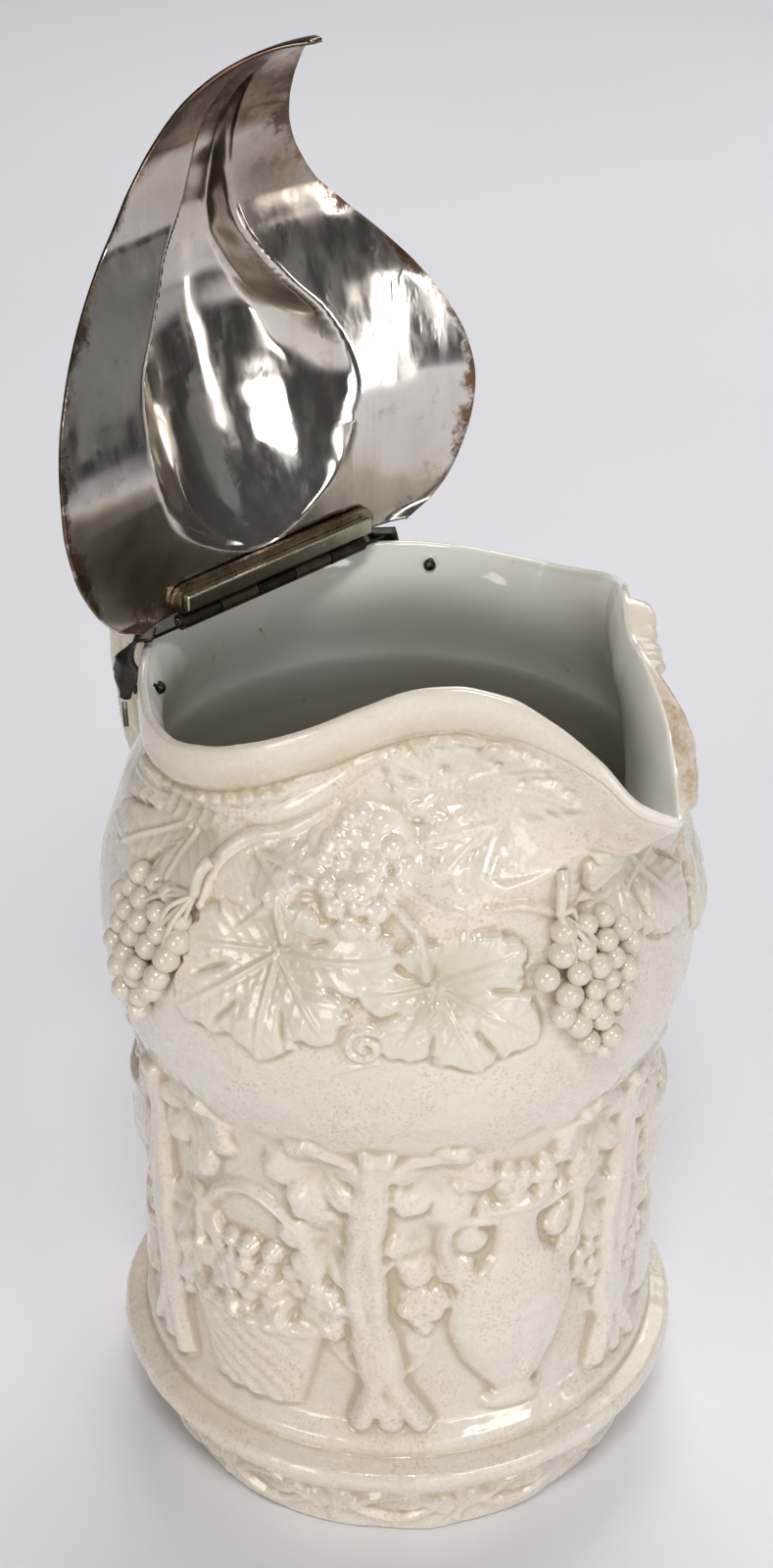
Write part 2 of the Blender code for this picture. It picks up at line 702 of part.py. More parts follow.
def lid_height(forward, share):
    """Height of the lid's underside above the pin, at a share of the half width."""
    half = through(LID_STATIONS, forward, 1)
    edge = through(LID_STATIONS, forward, 2)
    crown = through(LID_STATIONS, forward, 3)
    power = LID_ARCH + LID_FLAT * max(0.0, 1 - forward / LID_FLAT_REACH)
    height = edge + (crown - edge) * (1 - abs(share) ** power)
    pear_half = through(PEAR_STATIONS, forward, 1)
    aside = share * half - through(PEAR_STATIONS, forward, 3)
    inside = max(0.0, 1 - (aside / pear_half) ** 2)
    return height + through(PEAR_STATIONS, forward, 2) * inside ** PEAR_ROUND


def make_lid_shell(group, material):
    first = LID_STATIONS[0][0]
    length = LID_STATIONS[-1][0] - first
    bm = bmesh.new()
    bmesh.ops.create_grid(bm, x_segments=LID_ROWS, y_segments=LID_COLUMNS, size=1)
    for v in bm.verts:
        forward = first + length * (v.co.x + 1) / 2
        share = v.co.y
        half = through(LID_STATIONS, forward, 1)
        v.co = Vector((forward, share * half, lid_height(forward, share))) * MM
    mesh = bpy.data.meshes.new("lid_shell")
    bm.to_mesh(mesh)
    bm.free()
    lid = make_object("lid_shell", mesh, group)
    sheet = lid.modifiers.new("sheet", "SOLIDIFY")
    sheet.thickness = LID_THICK * MM
    sheet.offset = 1
    sheet.use_even_offset = True
    lid = finish(baked(lid), material, SMOOTH_METAL)
    hang_open(lid)


def make_hinge_strip(group, material):
    """Strip with rounded ends, soldered under the lid at the hinge."""
    middle = (STRIP_FORWARD[0] + STRIP_FORWARD[1]) / 2
    half_width = (STRIP_FORWARD[1] - STRIP_FORWARD[0]) / 2
    outline = []
    for side in (1, -1):
        for k in range(STRIP_END_STEPS + 1):
            a = math.radians(side * (90 - 180 * k / STRIP_END_STEPS))
            across = side * (STRIP_HALF - half_width + half_width * math.cos(a))
            outline.append((middle + half_width * math.sin(a), across))
    strip = flat_plate("lid_hinge_strip", outline, STRIP_TOP - STRIP_THICK, STRIP_TOP, group)
    finish(strip, material, SMOOTH_METAL)
    hang_open(strip)


def make_hinge_bar(group, material):
    """Square bar with eased edges on the strip."""
    bm = bmesh.new()
    bmesh.ops.create_cube(bm, size=1)
    bmesh.ops.scale(bm, verts=bm.verts, vec=Vector((BAR_WIDTH, HINGE_LENGTH, BAR_WIDTH)) * MM)
    drop = STRIP_TOP - STRIP_THICK - GAP - BAR_WIDTH / 2
    bmesh.ops.translate(bm, verts=bm.verts, vec=Vector((BAR_FORWARD + BAR_WIDTH / 2, 0, drop)) * MM)
    mesh = bpy.data.meshes.new("lid_hinge_bar")
    bm.to_mesh(mesh)
    bm.free()
    bar = make_object("lid_hinge_bar", mesh, group)
    edge = bar.modifiers.new("edge", "BEVEL")
    edge.width = BAR_EDGE * MM
    edge.segments = 1
    bar = finish(baked(bar), material, SMOOTH_METAL)
    hang_open(bar)


def new_collection(name):
    group = bpy.data.collections.new(name)
    bpy.context.scene.collection.children.link(group)
    return group


def build():
    for obj in list(bpy.data.objects):
        bpy.data.objects.remove(obj)
    parts = new_collection("lidded_jug")
    tools = new_collection("cutters")
    porcelain = make_material("glazed_porcelain", (0.78, 0.74, 0.66), 0.3, 0.0)
    sprig = make_material("sprig_porcelain", (0.8, 0.77, 0.69), 0.25, 0.0)
    silver = make_material("worn_silver_plate", (0.62, 0.58, 0.52), 0.25, 1.0)
    dark = make_material("tarnished_metal", (0.12, 0.11, 0.1), 0.45, 1.0)
    steel = make_material("pin_metal", (0.45, 0.43, 0.38), 0.35, 1.0)
    make_body(parts, tools, porcelain)
    envelope = make_envelope(tools)
    make_handle(parts, envelope, porcelain)
    for name, angle, height in BUNCHES:
        make_bunch(name, angle, height, parts, tools, envelope, sprig)
    make_plate(parts, dark)
    for word, side in (("near", -1), ("far", 1)):
        make_strap("mount_strap_" + word, side, parts, dark)
        make_prong("mount_prong_" + word, side, parts, dark)
        make_collar_pin("collar_pin_" + word, side, parts, dark)
    make_knuckles(parts, tools, dark, silver)
    make_pin(parts, steel)
    make_lid_shell(parts, silver)
    make_hinge_strip(parts, silver)
    make_hinge_bar(parts, silver)
    for obj in list(tools.objects):
        obj.hide_render = True
        obj.display_type = "WIRE"
    for obj in list(parts.objects) + list(tools.objects):
        obj.location.x += AXIS_SHIFT * MM
    bpy.context.view_layer.update()


build()
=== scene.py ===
"""Looks of the lidded porcelain jug: carved body, sprigs, handle, mount, lid, light and camera."""
import math

import bpy
import numpy as np
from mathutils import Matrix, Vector


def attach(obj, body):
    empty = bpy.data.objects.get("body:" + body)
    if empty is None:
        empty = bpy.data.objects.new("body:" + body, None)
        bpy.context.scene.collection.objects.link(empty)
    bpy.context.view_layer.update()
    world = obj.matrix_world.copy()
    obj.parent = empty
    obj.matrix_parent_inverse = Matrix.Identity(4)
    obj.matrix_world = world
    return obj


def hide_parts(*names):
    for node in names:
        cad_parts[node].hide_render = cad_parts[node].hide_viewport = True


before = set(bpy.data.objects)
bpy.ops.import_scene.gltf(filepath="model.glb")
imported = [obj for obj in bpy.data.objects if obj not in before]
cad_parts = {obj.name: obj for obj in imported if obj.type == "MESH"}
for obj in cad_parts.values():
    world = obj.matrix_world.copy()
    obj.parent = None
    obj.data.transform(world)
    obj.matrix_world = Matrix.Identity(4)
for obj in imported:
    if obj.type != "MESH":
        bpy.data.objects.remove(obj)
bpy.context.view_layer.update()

# Sizes are in millimetres from the body axis, as in the solids. The spout points to +X.
MM = 0.001
AXIS_SHIFT = 7.8

# Porcelain body: radius and height down the outside wall, under the foot, and down the inside
WALL_PROFILE = [
    (60.4, 172), (62.8, 165), (65.2, 157), (66.4, 148), (66, 138), (64.4, 128), (61.5, 120), (58.8, 113),
    (57.6, 102), (57.5, 80), (57.5, 58), (57.6, 38), (59.6, 35), (60.8, 33.2), (61, 31), (62.8, 29.4),
    (65.4, 28.4), (66.4, 26), (65.4, 23.2), (62, 21), (58.4, 19.4), (57.2, 13), (56, 6), (55, 1.2), (54, 0),
]
UNDER_PROFILE = [(54, 0), (51, 0), (48.5, 0), (47.4, 1.8), (46.5, 4), (24, 4), (2, 4)]
INNER_PROFILE = [
    (56.2, 172), (58.6, 165), (61.2, 157), (62.2, 148), (61.6, 138), (59.8, 128), (56.6, 119), (54.2, 110),
    (53.4, 98), (53.4, 60), (53.4, 24), (51.6, 14.5), (46, 9.8), (24, 9.2), (2, 9),
]
NECK_HEIGHT = 172
# Mouth: degrees from the spout, radius of the inner edge, height of the crest
MOUTH = [
    (0, 78, 199), (4, 73, 202.5), (8, 67, 210.8), (13, 59.5, 217.4), (20, 52.5, 222), (30, 47.5, 223.5),
    (42, 45.5, 222), (54, 46.3, 218.2), (66, 48.9, 213.4), (78, 51.9, 208.8), (90, 53.9, 204.7),
    (100, 54.9, 202.4), (110, 54.6, 201.9), (120, 53.6, 202.6), (132, 52.9, 203.2), (150, 52.9, 203.2),
    (180, 52.9, 203.2),
]
# Collar: distance out from the inner edge of the mouth, depth below the crest
COLLAR = [
    (0, 1.4), (0.3, 0.6), (0.8, 0.1), (1.3, 0), (1.8, 0.1), (2.3, 0.6), (2.5, 1.3), (2.9, 4.5), (2.8, 7.6),
    (2.6, 8.8), (2.2, 9.5), (1.8, 9.8),
]
# Degrees from the spout, share of the collar's depth, share of its width
COLLAR_FADE = [(0, 0.22, 0.6), (6, 0.34, 0.7), (14, 0.7, 0.9), (24, 1, 1), (180, 1, 1)]
# The neck draws in between the shoulder and the mouth: by how much, and how high up that sits
THROAT = 3.2
THROAT_HIGH = 1.6
EDGE_STEP = 0.8
HOLE_ANGLE = 128
HOLE_HEIGHT = 198.9
HOLE_RADIUS = 1.1

# Fineness of the carved body: columns round it, and steps down the parts of its section
COLUMNS = 1000
WALL_STEP = 0.4
INNER_STEP = 3.0
NECK_ROWS = 96
INNER_NECK_ROWS = 36
COLLAR_STEP = 0.5

# Hinge pin, which is also where the lid's own frame stands
PIN_X = -40.0
PIN_Z = 206.2
LID_OPEN = 88
# Lid, drawn shut: distance forward of the pin, half width, then heights above the pin of edge and crown
LID_STATIONS = [
    (2.6, 39, -2.3, 1.3), (6, 46, -2.6, 1.4), (14, 53, -3.1, 1.7), (24, 57.4, -3, 2.3),
    (33, 58.8, -2.2, 3.1), (41, 57.8, -0.3, 4.7), (49, 55, 3.1, 7.1), (58, 49.6, 7.6, 10.5),
    (66, 43, 12.2, 14.2), (74, 35.2, 16.5, 18.1), (81, 28.6, 18.9, 20.3), (88, 24, 19.2, 20.6),
    (95, 20.4, 18, 19.6), (102, 17.6, 15.2, 17), (109, 15, 11, 12.8), (115, 12, 5.8, 7.4),
    (120, 8.2, -0.2, 1), (123.6, 4.4, -6.8, -6.2), (125.4, 1, -12.6, -12.5),
]
# It is arched across, and flatter near the hinge: power of the arch, what is added, and how far forward
LID_ARCH = 2.2
LID_FLAT = 3.8
LID_FLAT_REACH = 30
LID_THICK = 0.9
# Hammered waves of the plate: rise, wavelength and seed; its margin keeps its true line
LID_WAVES = [(0.16, 30, 8), (0.05, 11, 9)]
LID_TRUE = 6
# Pear-shaped boss pressed into the lid: distance forward, half width, depth, and its middle across the lid
PEAR_STATIONS = [
    (9, 3, 0, -2), (13, 13, 3.2, -2), (22, 25.5, 8.8, -2.2), (28, 27.8, 11.8, -2.4), (34, 29.2, 14, -2.5),
    (40, 29.8, 15.4, -2.5), (46, 29, 16, -2.7), (54, 26, 15.6, -3.4), (63, 19.2, 13.4, -4),
    (73, 12.4, 9.6, -3.6), (82, 7.8, 6.2, -1.2), (92, 5.6, 3.8, 0), (104, 4.6, 2, 0), (118, 3, 0, 0),
]
# Its bend across, and the share of its half width at which it starts to rise to its edge
PEAR_BEND = 0.013
PEAR_FLAT = 0.6
# Smoked patch on the lid: distance forward and across, reach, and where the tip's own smoke starts
SMOKE_PLACE = (86, 18)
SMOKE_REACH = 15
SMOKE_TIP = 94
# Crease below the tip, forward of the pin
SEAM_PLACE = 100
# Fineness of the lid along and across
LID_ROWS = 300
LID_COLUMNS = 220


# Curves and fields
def through(stations, t, column=1):
    """Smooth value of one column of a station table at t, with level slopes at turning points."""
    table = np.array(stations, float)
    xs = table[:, 0]
    ys = table[:, column]
    steps = np.diff(ys) / np.diff(xs)
    before = steps[:-1]
    after = steps[1:]
    total = np.where(before + after == 0, 1, before + after)
    middle = np.where(before * after > 0, 2 * before * after / total, 0)
    slopes = np.concatenate(([steps[0]], middle, [steps[-1]]))
    t = np.clip(t, xs[0], xs[-1])
    i = np.clip(np.searchsorted(xs, t, side="right") - 1, 0, len(xs) - 2)
    h = xs[i + 1] - xs[i]
    u = (t - xs[i]) / h
    start = (1 + 2 * u) * (1 - u) ** 2 * ys[i] + u * (1 - u) ** 2 * h * slopes[i]
    end = u * u * (3 - 2 * u) * ys[i + 1] + u * u * (u - 1) * h * slopes[i + 1]
    return start + end


def smooth(x):
    x = np.clip(x, 0, 1)
    return x * x * (3 - 2 * x)


def bell(x, middle, width):
    return np.exp(-((x - middle) / width) ** 2)


def even_run(points, step):
    """Smooth run through points, at an even step."""
    table = np.array(points, float)
    lengths = np.linalg.norm(np.diff(table, axis=0), axis=1)
    run = np.concatenate(([0], np.cumsum(lengths)))
    stations = np.column_stack((run, table))
    t = np.linspace(0, run[-1], max(2, int(run[-1] / step) + 1))
    return np.column_stack([through(stations, t, k + 1) for k in range(table.shape[1])])


def ripple(points, wavelength, seed, waves=9):
    """Smooth unevenness from -1 to 1 over points in space, from a few crossing waves."""
    rng = np.random.default_rng(seed)
    total = np.zeros(points.shape[:-1])
    for _ in range(waves):
        heading = rng.normal(size=3)
        heading /= np.linalg.norm(heading)
        pace = 2 * math.pi / (wavelength * rng.uniform(0.7, 1.5))
        total += np.sin(points @ heading * pace + rng.uniform(0, 2 * math.pi))
    return total / math.sqrt(waves * 2)


def ripples(points, table):
    """Sum of ripples, each with its rise, wavelength and seed."""
    return sum(rise * ripple(points, wavelength, seed) for rise, wavelength, seed in table)


def blur(field, cells):
    """Gaussian blur of a grid that closes on itself from side to side."""
    pad = int(cells * 4) + 1
    tall = np.pad(field, ((pad, pad), (0, 0)), mode="edge")
    rows = np.fft.fftfreq(tall.shape[0])[:, None]
    columns = np.fft.rfftfreq(tall.shape[1])[None, :]
    damp = np.exp(-2 * (math.pi * cells) ** 2 * (rows ** 2 + columns ** 2))
    return np.fft.irfft2(np.fft.rfft2(tall) * damp, s=tall.shape)[pad:-pad]


def polar(angle, radius, height):
    """Points at angles in degrees from the spout."""
    a = np.radians(angle)
    x = radius * np.cos(a)
    y = radius * np.sin(a)
    return np.stack((x, y, height + np.zeros_like(x)), axis=-1)


def grid_normals(points, closed):
    """Unit normals of a grid of points: its run down the rows crossed with its run along them."""
    down = np.gradient(points, axis=0)
    if closed:
        right = np.roll(points, -1, 1) - np.roll(points, 1, 1)
    else:
        right = np.gradient(points, axis=1)
    normal = np.cross(down, right)
    return normal / np.maximum(np.linalg.norm(normal, axis=-1, keepdims=True), 1e-9)


# Meshes
def make_mesh(name, points, quads, triangles=(), smooth_shaded=True):
    """New object from points in millimetres from the body axis."""
    mesh = bpy.data.meshes.new(name)
    quads = np.asarray(quads, np.int32).reshape(-1, 4)
    triangles = np.asarray(triangles, np.int32).reshape(-1, 3)
    corners = np.concatenate((quads.ravel(), triangles.ravel()))
    starts = np.concatenate((np.arange(len(quads)) * 4, quads.size + np.arange(len(triangles)) * 3))
    world = (points.reshape(-1, 3) + (AXIS_SHIFT, 0, 0)) * MM
    mesh.vertices.add(len(world))
    mesh.vertices.foreach_set("co", world.astype(np.float32).ravel())
    mesh.loops.add(len(corners))
    mesh.loops.foreach_set("vertex_index", corners)
    mesh.polygons.add(len(starts))
    mesh.polygons.foreach_set("loop_start", starts.astype(np.int32))
    mesh.update(calc_edges=True)
    mesh.validate()
    mesh.polygons.foreach_set("use_smooth", np.full(len(mesh.polygons), smooth_shaded))
    obj = bpy.data.objects.new(name, mesh)
    bpy.context.scene.collection.objects.link(obj)
    return obj


def paint(obj, name, values):
    """Store one number for each point, for a material to read."""
    layer = obj.data.attributes.new(name, "FLOAT", "POINT")
    layer.data.foreach_set("value", np.asarray(values, np.float32).ravel())


def settle(obj, material, body, node):
    """Give a piece its material and its body, and hide the solid of the node that it stands for."""
    obj.data.materials.append(material)
    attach(obj, body)
    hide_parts(node)


def grid_quads(rows, columns, closed):
    """Quads of a grid of points, row by row, which may close on itself from side to side."""
    index = np.arange(rows * columns).reshape(rows, columns)
    if closed:
        right = np.roll(index, -1, 1)
        return np.stack((index[:-1], index[1:], right[1:], right[:-1]), axis=-1).reshape(-1, 4)
    corners = (index[:-1, :-1], index[1:, :-1], index[1:, 1:], index[:-1, 1:])
    return np.stack(corners, axis=-1).reshape(-1, 4)


def join_meshes(parts):
    """One list of points and quads from several."""
    points = []
    quads = []
    count = 0
    for spots, faces in parts:
        points.append(spots.reshape(-1, 3))
        quads.append(np.asarray(faces) + count)
        count += len(points[-1])
    return np.concatenate(points), np.concatenate(quads)


def tube(points, radii, sides):
    """Tube of quads along points in space, open at its ends."""
    points = np.asarray(points, float)
    ahead = np.gradient(points, axis=0)
    ahead /= np.linalg.norm(ahead, axis=1, keepdims=True)
    guide = np.array((0.3, 0.2, 1.0)) if abs(ahead[0, 2]) < 0.8 else np.array((1.0, 0.2, 0.1))
    rings = []
    for spot, way, radius in zip(points, ahead, radii):
        side = np.cross(guide, way)
        side /= np.linalg.norm(side)
        over = np.cross(way, side)
        guide = np.cross(side, way) * -1
        turn = np.linspace(0, 2 * math.pi, sides, endpoint=False)[:, None]
        rings.append(spot + radius * (np.cos(turn) * side + np.sin(turn) * over))
    grid = np.stack(rings)
    return grid, grid_quads(len(grid), sides, True)


# Mouth and neck of the body
def mouth_side(angle):
    return np.abs((angle + 180) % 360 - 180)


def mouth_edge(angle):
    side = mouth_side(angle)
    return polar(angle, through(MOUTH, side, 1), through(MOUTH, side, 2))


def mouth_normal(angle):
    along = mouth_edge(angle + EDGE_STEP) - mouth_edge(angle - EDGE_STEP)
    out = np.stack((along[:, 1], -along[:, 0], np.zeros(len(along))), axis=-1)
    return out / np.linalg.norm(out, axis=1, keepdims=True)


def collar_ring(angle, out, depth):
    side = mouth_side(angle)
    away = mouth_normal(angle) * (out * through(COLLAR_FADE, side, 2))[:, None]
    drop = depth * through(COLLAR_FADE, side, 1)
    ring = mouth_edge(angle) + away
    ring[:, 2] -= drop
    return ring


def neck_rings(high, low, rows):
    """Rings from the mouth's outline down to the round neck, drawn in at the throat."""
    rings = []
    for share in np.linspace(1, 0, rows + 2)[1:-1]:
        eased = smooth(share)
        ring = low + (high - low) * eased
        rise = (high[:, 2] - low[:, 2]) * share
        ring[:, 2] = low[:, 2] + rise
        inward = THROAT * math.sin(math.pi * share ** THROAT_HIGH)
        ring[:, :2] *= (1 - inward / np.linalg.norm(ring[:, :2], axis=1))[:, None]
        rings.append(ring)
    return rings


class Wall:
    """The body as one fine grid from the middle of its floor, over the rim, to the middle of its foot."""

    def __init__(self):
        self.angle = np.linspace(-180, 180, COLUMNS, endpoint=False)
        inside = [polar(self.angle, r, z) for r, z in even_run(INNER_PROFILE, INNER_STEP)]
        collar = [collar_ring(self.angle, out, depth) for out, depth in even_run(COLLAR, COLLAR_STEP)]
        outside = [polar(self.angle, r, z) for r, z in even_run(WALL_PROFILE, WALL_STEP)]
        under = [polar(self.angle, r, z) for r, z in even_run(UNDER_PROFILE, INNER_STEP)[1:]]
        inner_neck = neck_rings(collar[0], inside[0], INNER_NECK_ROWS)
        neck = neck_rings(collar[-1], outside[0], NECK_ROWS)
        rows = inside[::-1] + inner_neck[::-1] + collar + neck + outside + under
        self.point = np.stack(rows)
        self.rim = len(inside) + len(inner_neck)
        self.top = self.rim + len(collar)
        self.base = self.top + len(neck)
        self.foot = self.base + len(outside)
        self.normal = grid_normals(self.point, True)
        steps = np.linalg.norm(np.diff(self.point, axis=0), axis=2)
        run = np.concatenate((np.zeros((1, COLUMNS)), np.cumsum(steps, axis=0)))
        self.path = run - run[self.base]
        self.radius = np.linalg.norm(self.point[:, :, :2], axis=2)
        self.carving = np.zeros(self.point.shape[:2])
        self.leafy = np.zeros(self.point.shape[:2])
        self.hollow = np.zeros(self.point.shape[:2])

    def column(self, angle):
        return int(round((angle + 180) / 360 * COLUMNS)) % COLUMNS

    def path_at(self, angle, height):
        """How far down the outside, from the neck, a height is reached at an angle."""
        column = self.column(angle)
        rows = slice(self.top, self.foot)
        return np.interp(-height, -self.point[rows, column, 2], self.path[rows, column])

    def patch(self, angle, height, reach):
        """Part of the grid round a place on the outside, with distances to the right and up from it."""
        path = self.path_at(angle, height)
        column = self.column(angle)
        rows = np.flatnonzero(np.abs(self.path[self.top:self.foot, column] - path) <= reach * 1.1 + 1)
        rows += self.top
        turn = np.radians((self.angle - angle + 180) % 360 - 180)
        radius = self.radius[rows[len(rows) // 2], column]
        columns = np.flatnonzero(np.abs(turn) * radius <= reach * 1.1 + 1)
        spot = np.ix_(rows, columns)
        across = turn[columns][None, :] * self.radius[spot]
        return spot, across, path - self.path[spot]

    def raise_to(self, spot, height):
        self.carving[spot] = np.maximum(self.carving[spot], height)

    def bead(self, angle, height, radius, rise, base=0.0):
        """Round bead standing on the wall."""
        spot, across, up = self.patch(angle, height, radius)
        inside = 1 - (across ** 2 + up ** 2) / radius ** 2
        self.raise_to(spot, np.where(inside > 0, base + rise * np.sqrt(np.maximum(inside, 0)), 0))

    def pit(self, angle, height, radius, depth):
        """Small dent in the wall."""
        spot, across, up = self.patch(angle, height, radius * 2)
        self.carving[spot] -= depth * np.exp(-(across ** 2 * 0.5 + up ** 2) / radius ** 2 * 1.5)

    def ridge(self, route, radius, rise, base=0.0, tail=1.0):
        """Rounded ridge along a smooth route of angles and heights, thinning to a share at its far end."""
        run = even_run(route, 0.5)
        for k, (angle, height) in enumerate(run):
            share = 1 + (tail - 1) * k / max(len(run) - 1, 1)
            self.bead(angle, height, radius * share, rise * share, base)


# Carving: leaves, grapes and vessels
# Width over which a leaf's edge falls, and what is added to it near the stalk
LEAF_EDGE = 1.5
LEAF_MELT = 3.2
# Saw teeth, veins and the slits between lobes
TOOTH_PITCH = 4.4
TOOTH_DEPTH = 2.0
VEIN_WIDTH = 0.36
VEIN_RISE = 0.8
SIDE_VEIN_PITCH = 3.4
SLIT_DEPTH = 1.4
SLIT_WIDTH = 0.55
# Swelling of each lobe, and the dish round the stalk
LEAF_SWELL = 0.5
LEAF_DISH = 0.9
# Cuts go no deeper into the wall than this
DEEPEST = 0.9
# Radius at which a carved bunch's spread is turned into degrees
BUNCH_RADIUS = 60


def swung(angle, side, steps):
    """Route of angles and heights from steps in degrees to one side of an angle."""
    return [(angle + side * step, height) for step, height in steps]


def lobe_width(share):
    """Half width along a lobe as a share of its widest."""
    swell = np.clip(1 - share, 0, 1) ** 0.7 * (0.5 + 1.3 * np.clip(share, 0, 1)) / 0.71
    return np.where(share < 0, 0.7 * np.clip(1 + share / 0.16, 0, 1), swell)


def lobe_place(across, up, heading, length):
    """Distances along and aside of a lobe's slightly bent middle line."""
    a = math.radians(heading)
    along = across * math.sin(a) - up * math.cos(a)
    bend = 0.1 * math.sin(heading * 7)
    return along, across * math.cos(a) + up * math.sin(a) - bend * along * np.abs(along) / length


def lobe_dress(along, aside, share, half):
    """Raised veins with a furrow on each side, and a swelling towards the lobe's tip."""
    far = np.abs(aside)
    fine = np.clip(1.05 - share, 0, 1) ** 0.6 * (share > 0)
    rib = (VEIN_RISE * bell(aside, 0, VEIN_WIDTH) - 0.3 * bell(far, 1.1, 0.6)) * fine
    beat = (along - 0.8 * far) / SIDE_VEIN_PITCH
    thin = np.exp(-((beat - np.round(beat)) * SIDE_VEIN_PITCH / (0.8 * VEIN_WIDTH)) ** 2)
    full = np.exp(-((share - 0.7) / 0.2) ** 2 - (far / np.maximum(half, 0.1) / 0.7) ** 2)
    return rib + 0.34 * VEIN_RISE * thin * smooth(far - 0.4) * (share > 0.1) + LEAF_SWELL * full


def carve_slits(across, up, lobes):
    """Narrow cuts in from the notches between neighbouring lobes."""
    cut = np.zeros(across.shape)
    order = sorted(lobes)
    for (left, left_length, _), (right, right_length, _) in zip(order, order[1:]):
        length = 0.82 * min(left_length, right_length)
        along, aside = lobe_place(across, up, (left + right) / 2, length)
        share = along / length
        ends = smooth((share - 0.6) / 0.2) * smooth((1.2 - share) / 0.2)
        cut += bell(aside, 0, SLIT_WIDTH) * ends
    return cut


def carve_leaf(wall, angle, height, lift, lobes, base=0.0, teeth=1.0, tone=1.0):
    """Veined leaf, dished at its stalk and full at its tips.

    Each lobe has a heading in degrees from straight down, a length and a half width.
    """
    reach = max(length for _, length, _ in lobes) + 1
    spot, across, up = wall.patch(angle, height, reach)
    far = np.hypot(across, up)
    room = np.full(across.shape, -9.0)
    dress = np.zeros(across.shape)
    tip = np.zeros(across.shape)
    for heading, length, half_width in lobes:
        along, aside = lobe_place(across, up, heading, length)
        share = along / length
        saw = ((along + 0.9 * np.sin(along * 0.8 + heading)) / TOOTH_PITCH + 0.4 * (aside > 0)) % 1 - 0.5
        half = half_width * lobe_width(share) + saw * TOOTH_DEPTH * teeth * (share > 0.3) * (share < 0.97)
        gap = np.where(share < 1, half - np.abs(aside), -9)
        better = gap > room
        room = np.where(better, gap, room)
        dress = np.where(better, lobe_dress(along, aside, share, half), dress)
        tip = np.where(better, share, tip)
    strength = min(1.0, lift / 1.6)
    edge = smooth(room / (LEAF_EDGE + LEAF_MELT * (1 - smooth(tip * 1.5))))
    dish = -LEAF_DISH * strength * bell(far, 0, 0.36 * reach)
    shape = base + (lift * smooth(tip * 1.1) + dish) * edge + dress * smooth(room / 0.9) * strength
    shape -= SLIT_DEPTH * strength * carve_slits(across, up, lobes)
    cut = -0.5 * bell(room, -0.5, 0.5) * strength * smooth(tip * 2)
    there = wall.carving[spot]
    kept = np.where(there > base + 0.5, there, -9)
    beside = np.where(there < 0.4, there + cut, there)
    wall.carving[spot] = np.where(room > 0, np.maximum(shape, kept), beside)
    fresh = tone * smooth(room / 1.5) * (1 - 0.75 * smooth((far / reach - 0.3) / 0.5))
    wall.leafy[spot] = np.maximum(wall.leafy[spot], fresh)
    sunk = tone * bell(far, 0, 0.38 * reach) * smooth(room)
    wall.hollow[spot] = np.maximum(wall.hollow[spot], sunk)


def carve_grapes(wall, angle, height, counts, radius, rise, base, seed):
    """Hanging bunch in low relief, row by row from the top."""
    rng = np.random.default_rng(seed)
    degree = math.radians(1) * BUNCH_RADIUS
    for row, count in enumerate(counts):
        for k in range(count):
            across = (k - (count - 1) / 2) * radius * 1.6 + rng.uniform(-0.8, 0.8)
            drop = row * radius * 1.4 + rng.uniform(-0.8, 0.8)
            size = radius * rng.uniform(0.75, 1.1)
            lift = base + rng.uniform(0, 0.6)
            wall.bead(angle + across / degree, height - drop, size, rise, lift)


def carve_spiral(wall, angle, height, radius, turns, start, side, thick, rise):
    """Curl that winds in to its middle."""
    route = []
    for share in np.linspace(0, 1, int(14 * turns)):
        a = math.radians(start) + side * share * turns * 2 * math.pi
        r = radius * (1 - 0.85 * share)
        route.append((angle + r * math.cos(a) / 1.1, height + r * math.sin(a)))
    wall.ridge(route, thick, rise)


def carve_vessel(wall, angle, foot, outline, depth, dress):
    """Turned vessel in relief; the outline is height above its foot and half width."""
    tall = outline[-1][0]
    spot, across, up = wall.patch(angle, foot + tall / 2, tall * 0.62)
    level = up + tall / 2
    half = through(outline, level)
    share = across / half
    inside = (level > 0) & (level < tall) & (np.abs(share) < 1)
    round_off = np.sqrt(np.clip(1 - share ** 2, 0, 1))
    turn = np.arcsin(np.clip(share, -1, 1))
    widest = max(row[1] for row in outline)
    height = depth * (0.35 + 0.65 * half / widest) * round_off ** 0.8 + dress(level, turn) * round_off
    wall.raise_to(spot, np.where(inside, 0.5 + height, 0))


# Vine round the shoulder and neck: angle, height, lift, then lobes as heading, length and half width
NEAR_LEAF = (-68, 166.7, 1.5, [
    (-86, 22, 9), (-48, 30, 11), (-8, 25, 10), (36, 22, 9.5), (90, 26, 8.5), (150, 13, 7),
])
FRONT_LEAF = (-37.4, 162.4, 1.5, [
    (-82, 16, 8), (-28, 18, 8), (20, 22, 8.5), (60, 26, 9.5), (112, 20, 8.5), (-150, 11, 6.5),
])
SPOUT_LEAF = (4, 185, 2.2, [(-50, 14, 7), (-4, 26, 10), (30, 36, 12), (66, 30, 10.5)])
BACK_LEAF = (-93, 187, 3.0, [(-84, 28, 9.5), (-46, 34, 11), (-8, 25, 9)])
NECK_LEAF = (-33, 200, 0.9, [(-159, 17, 6), (-123, 15, 5.5), (-96, 11, 5), (-60, 9, 4)])
CREST_LEAF = (-31, 200, 0.9, [(84, 25, 5.5), (112, 19, 5.5), (138, 15, 5.5), (165, 14, 5.5)])
FAINT_LEAF = (-21.7, 193.7, 0.7, [(-84, 17, 5), (-60, 18, 5), (-34, 13, 5)])
PLAIN_LEAF = (-77, 184.6, 1.4, [(60, 14, 5), (86, 18, 5.5)])
STEM_LEAF = (-60, 180, 0.9, [(-70, 13, 5), (-40, 11, 5), (-100, 11, 5)])
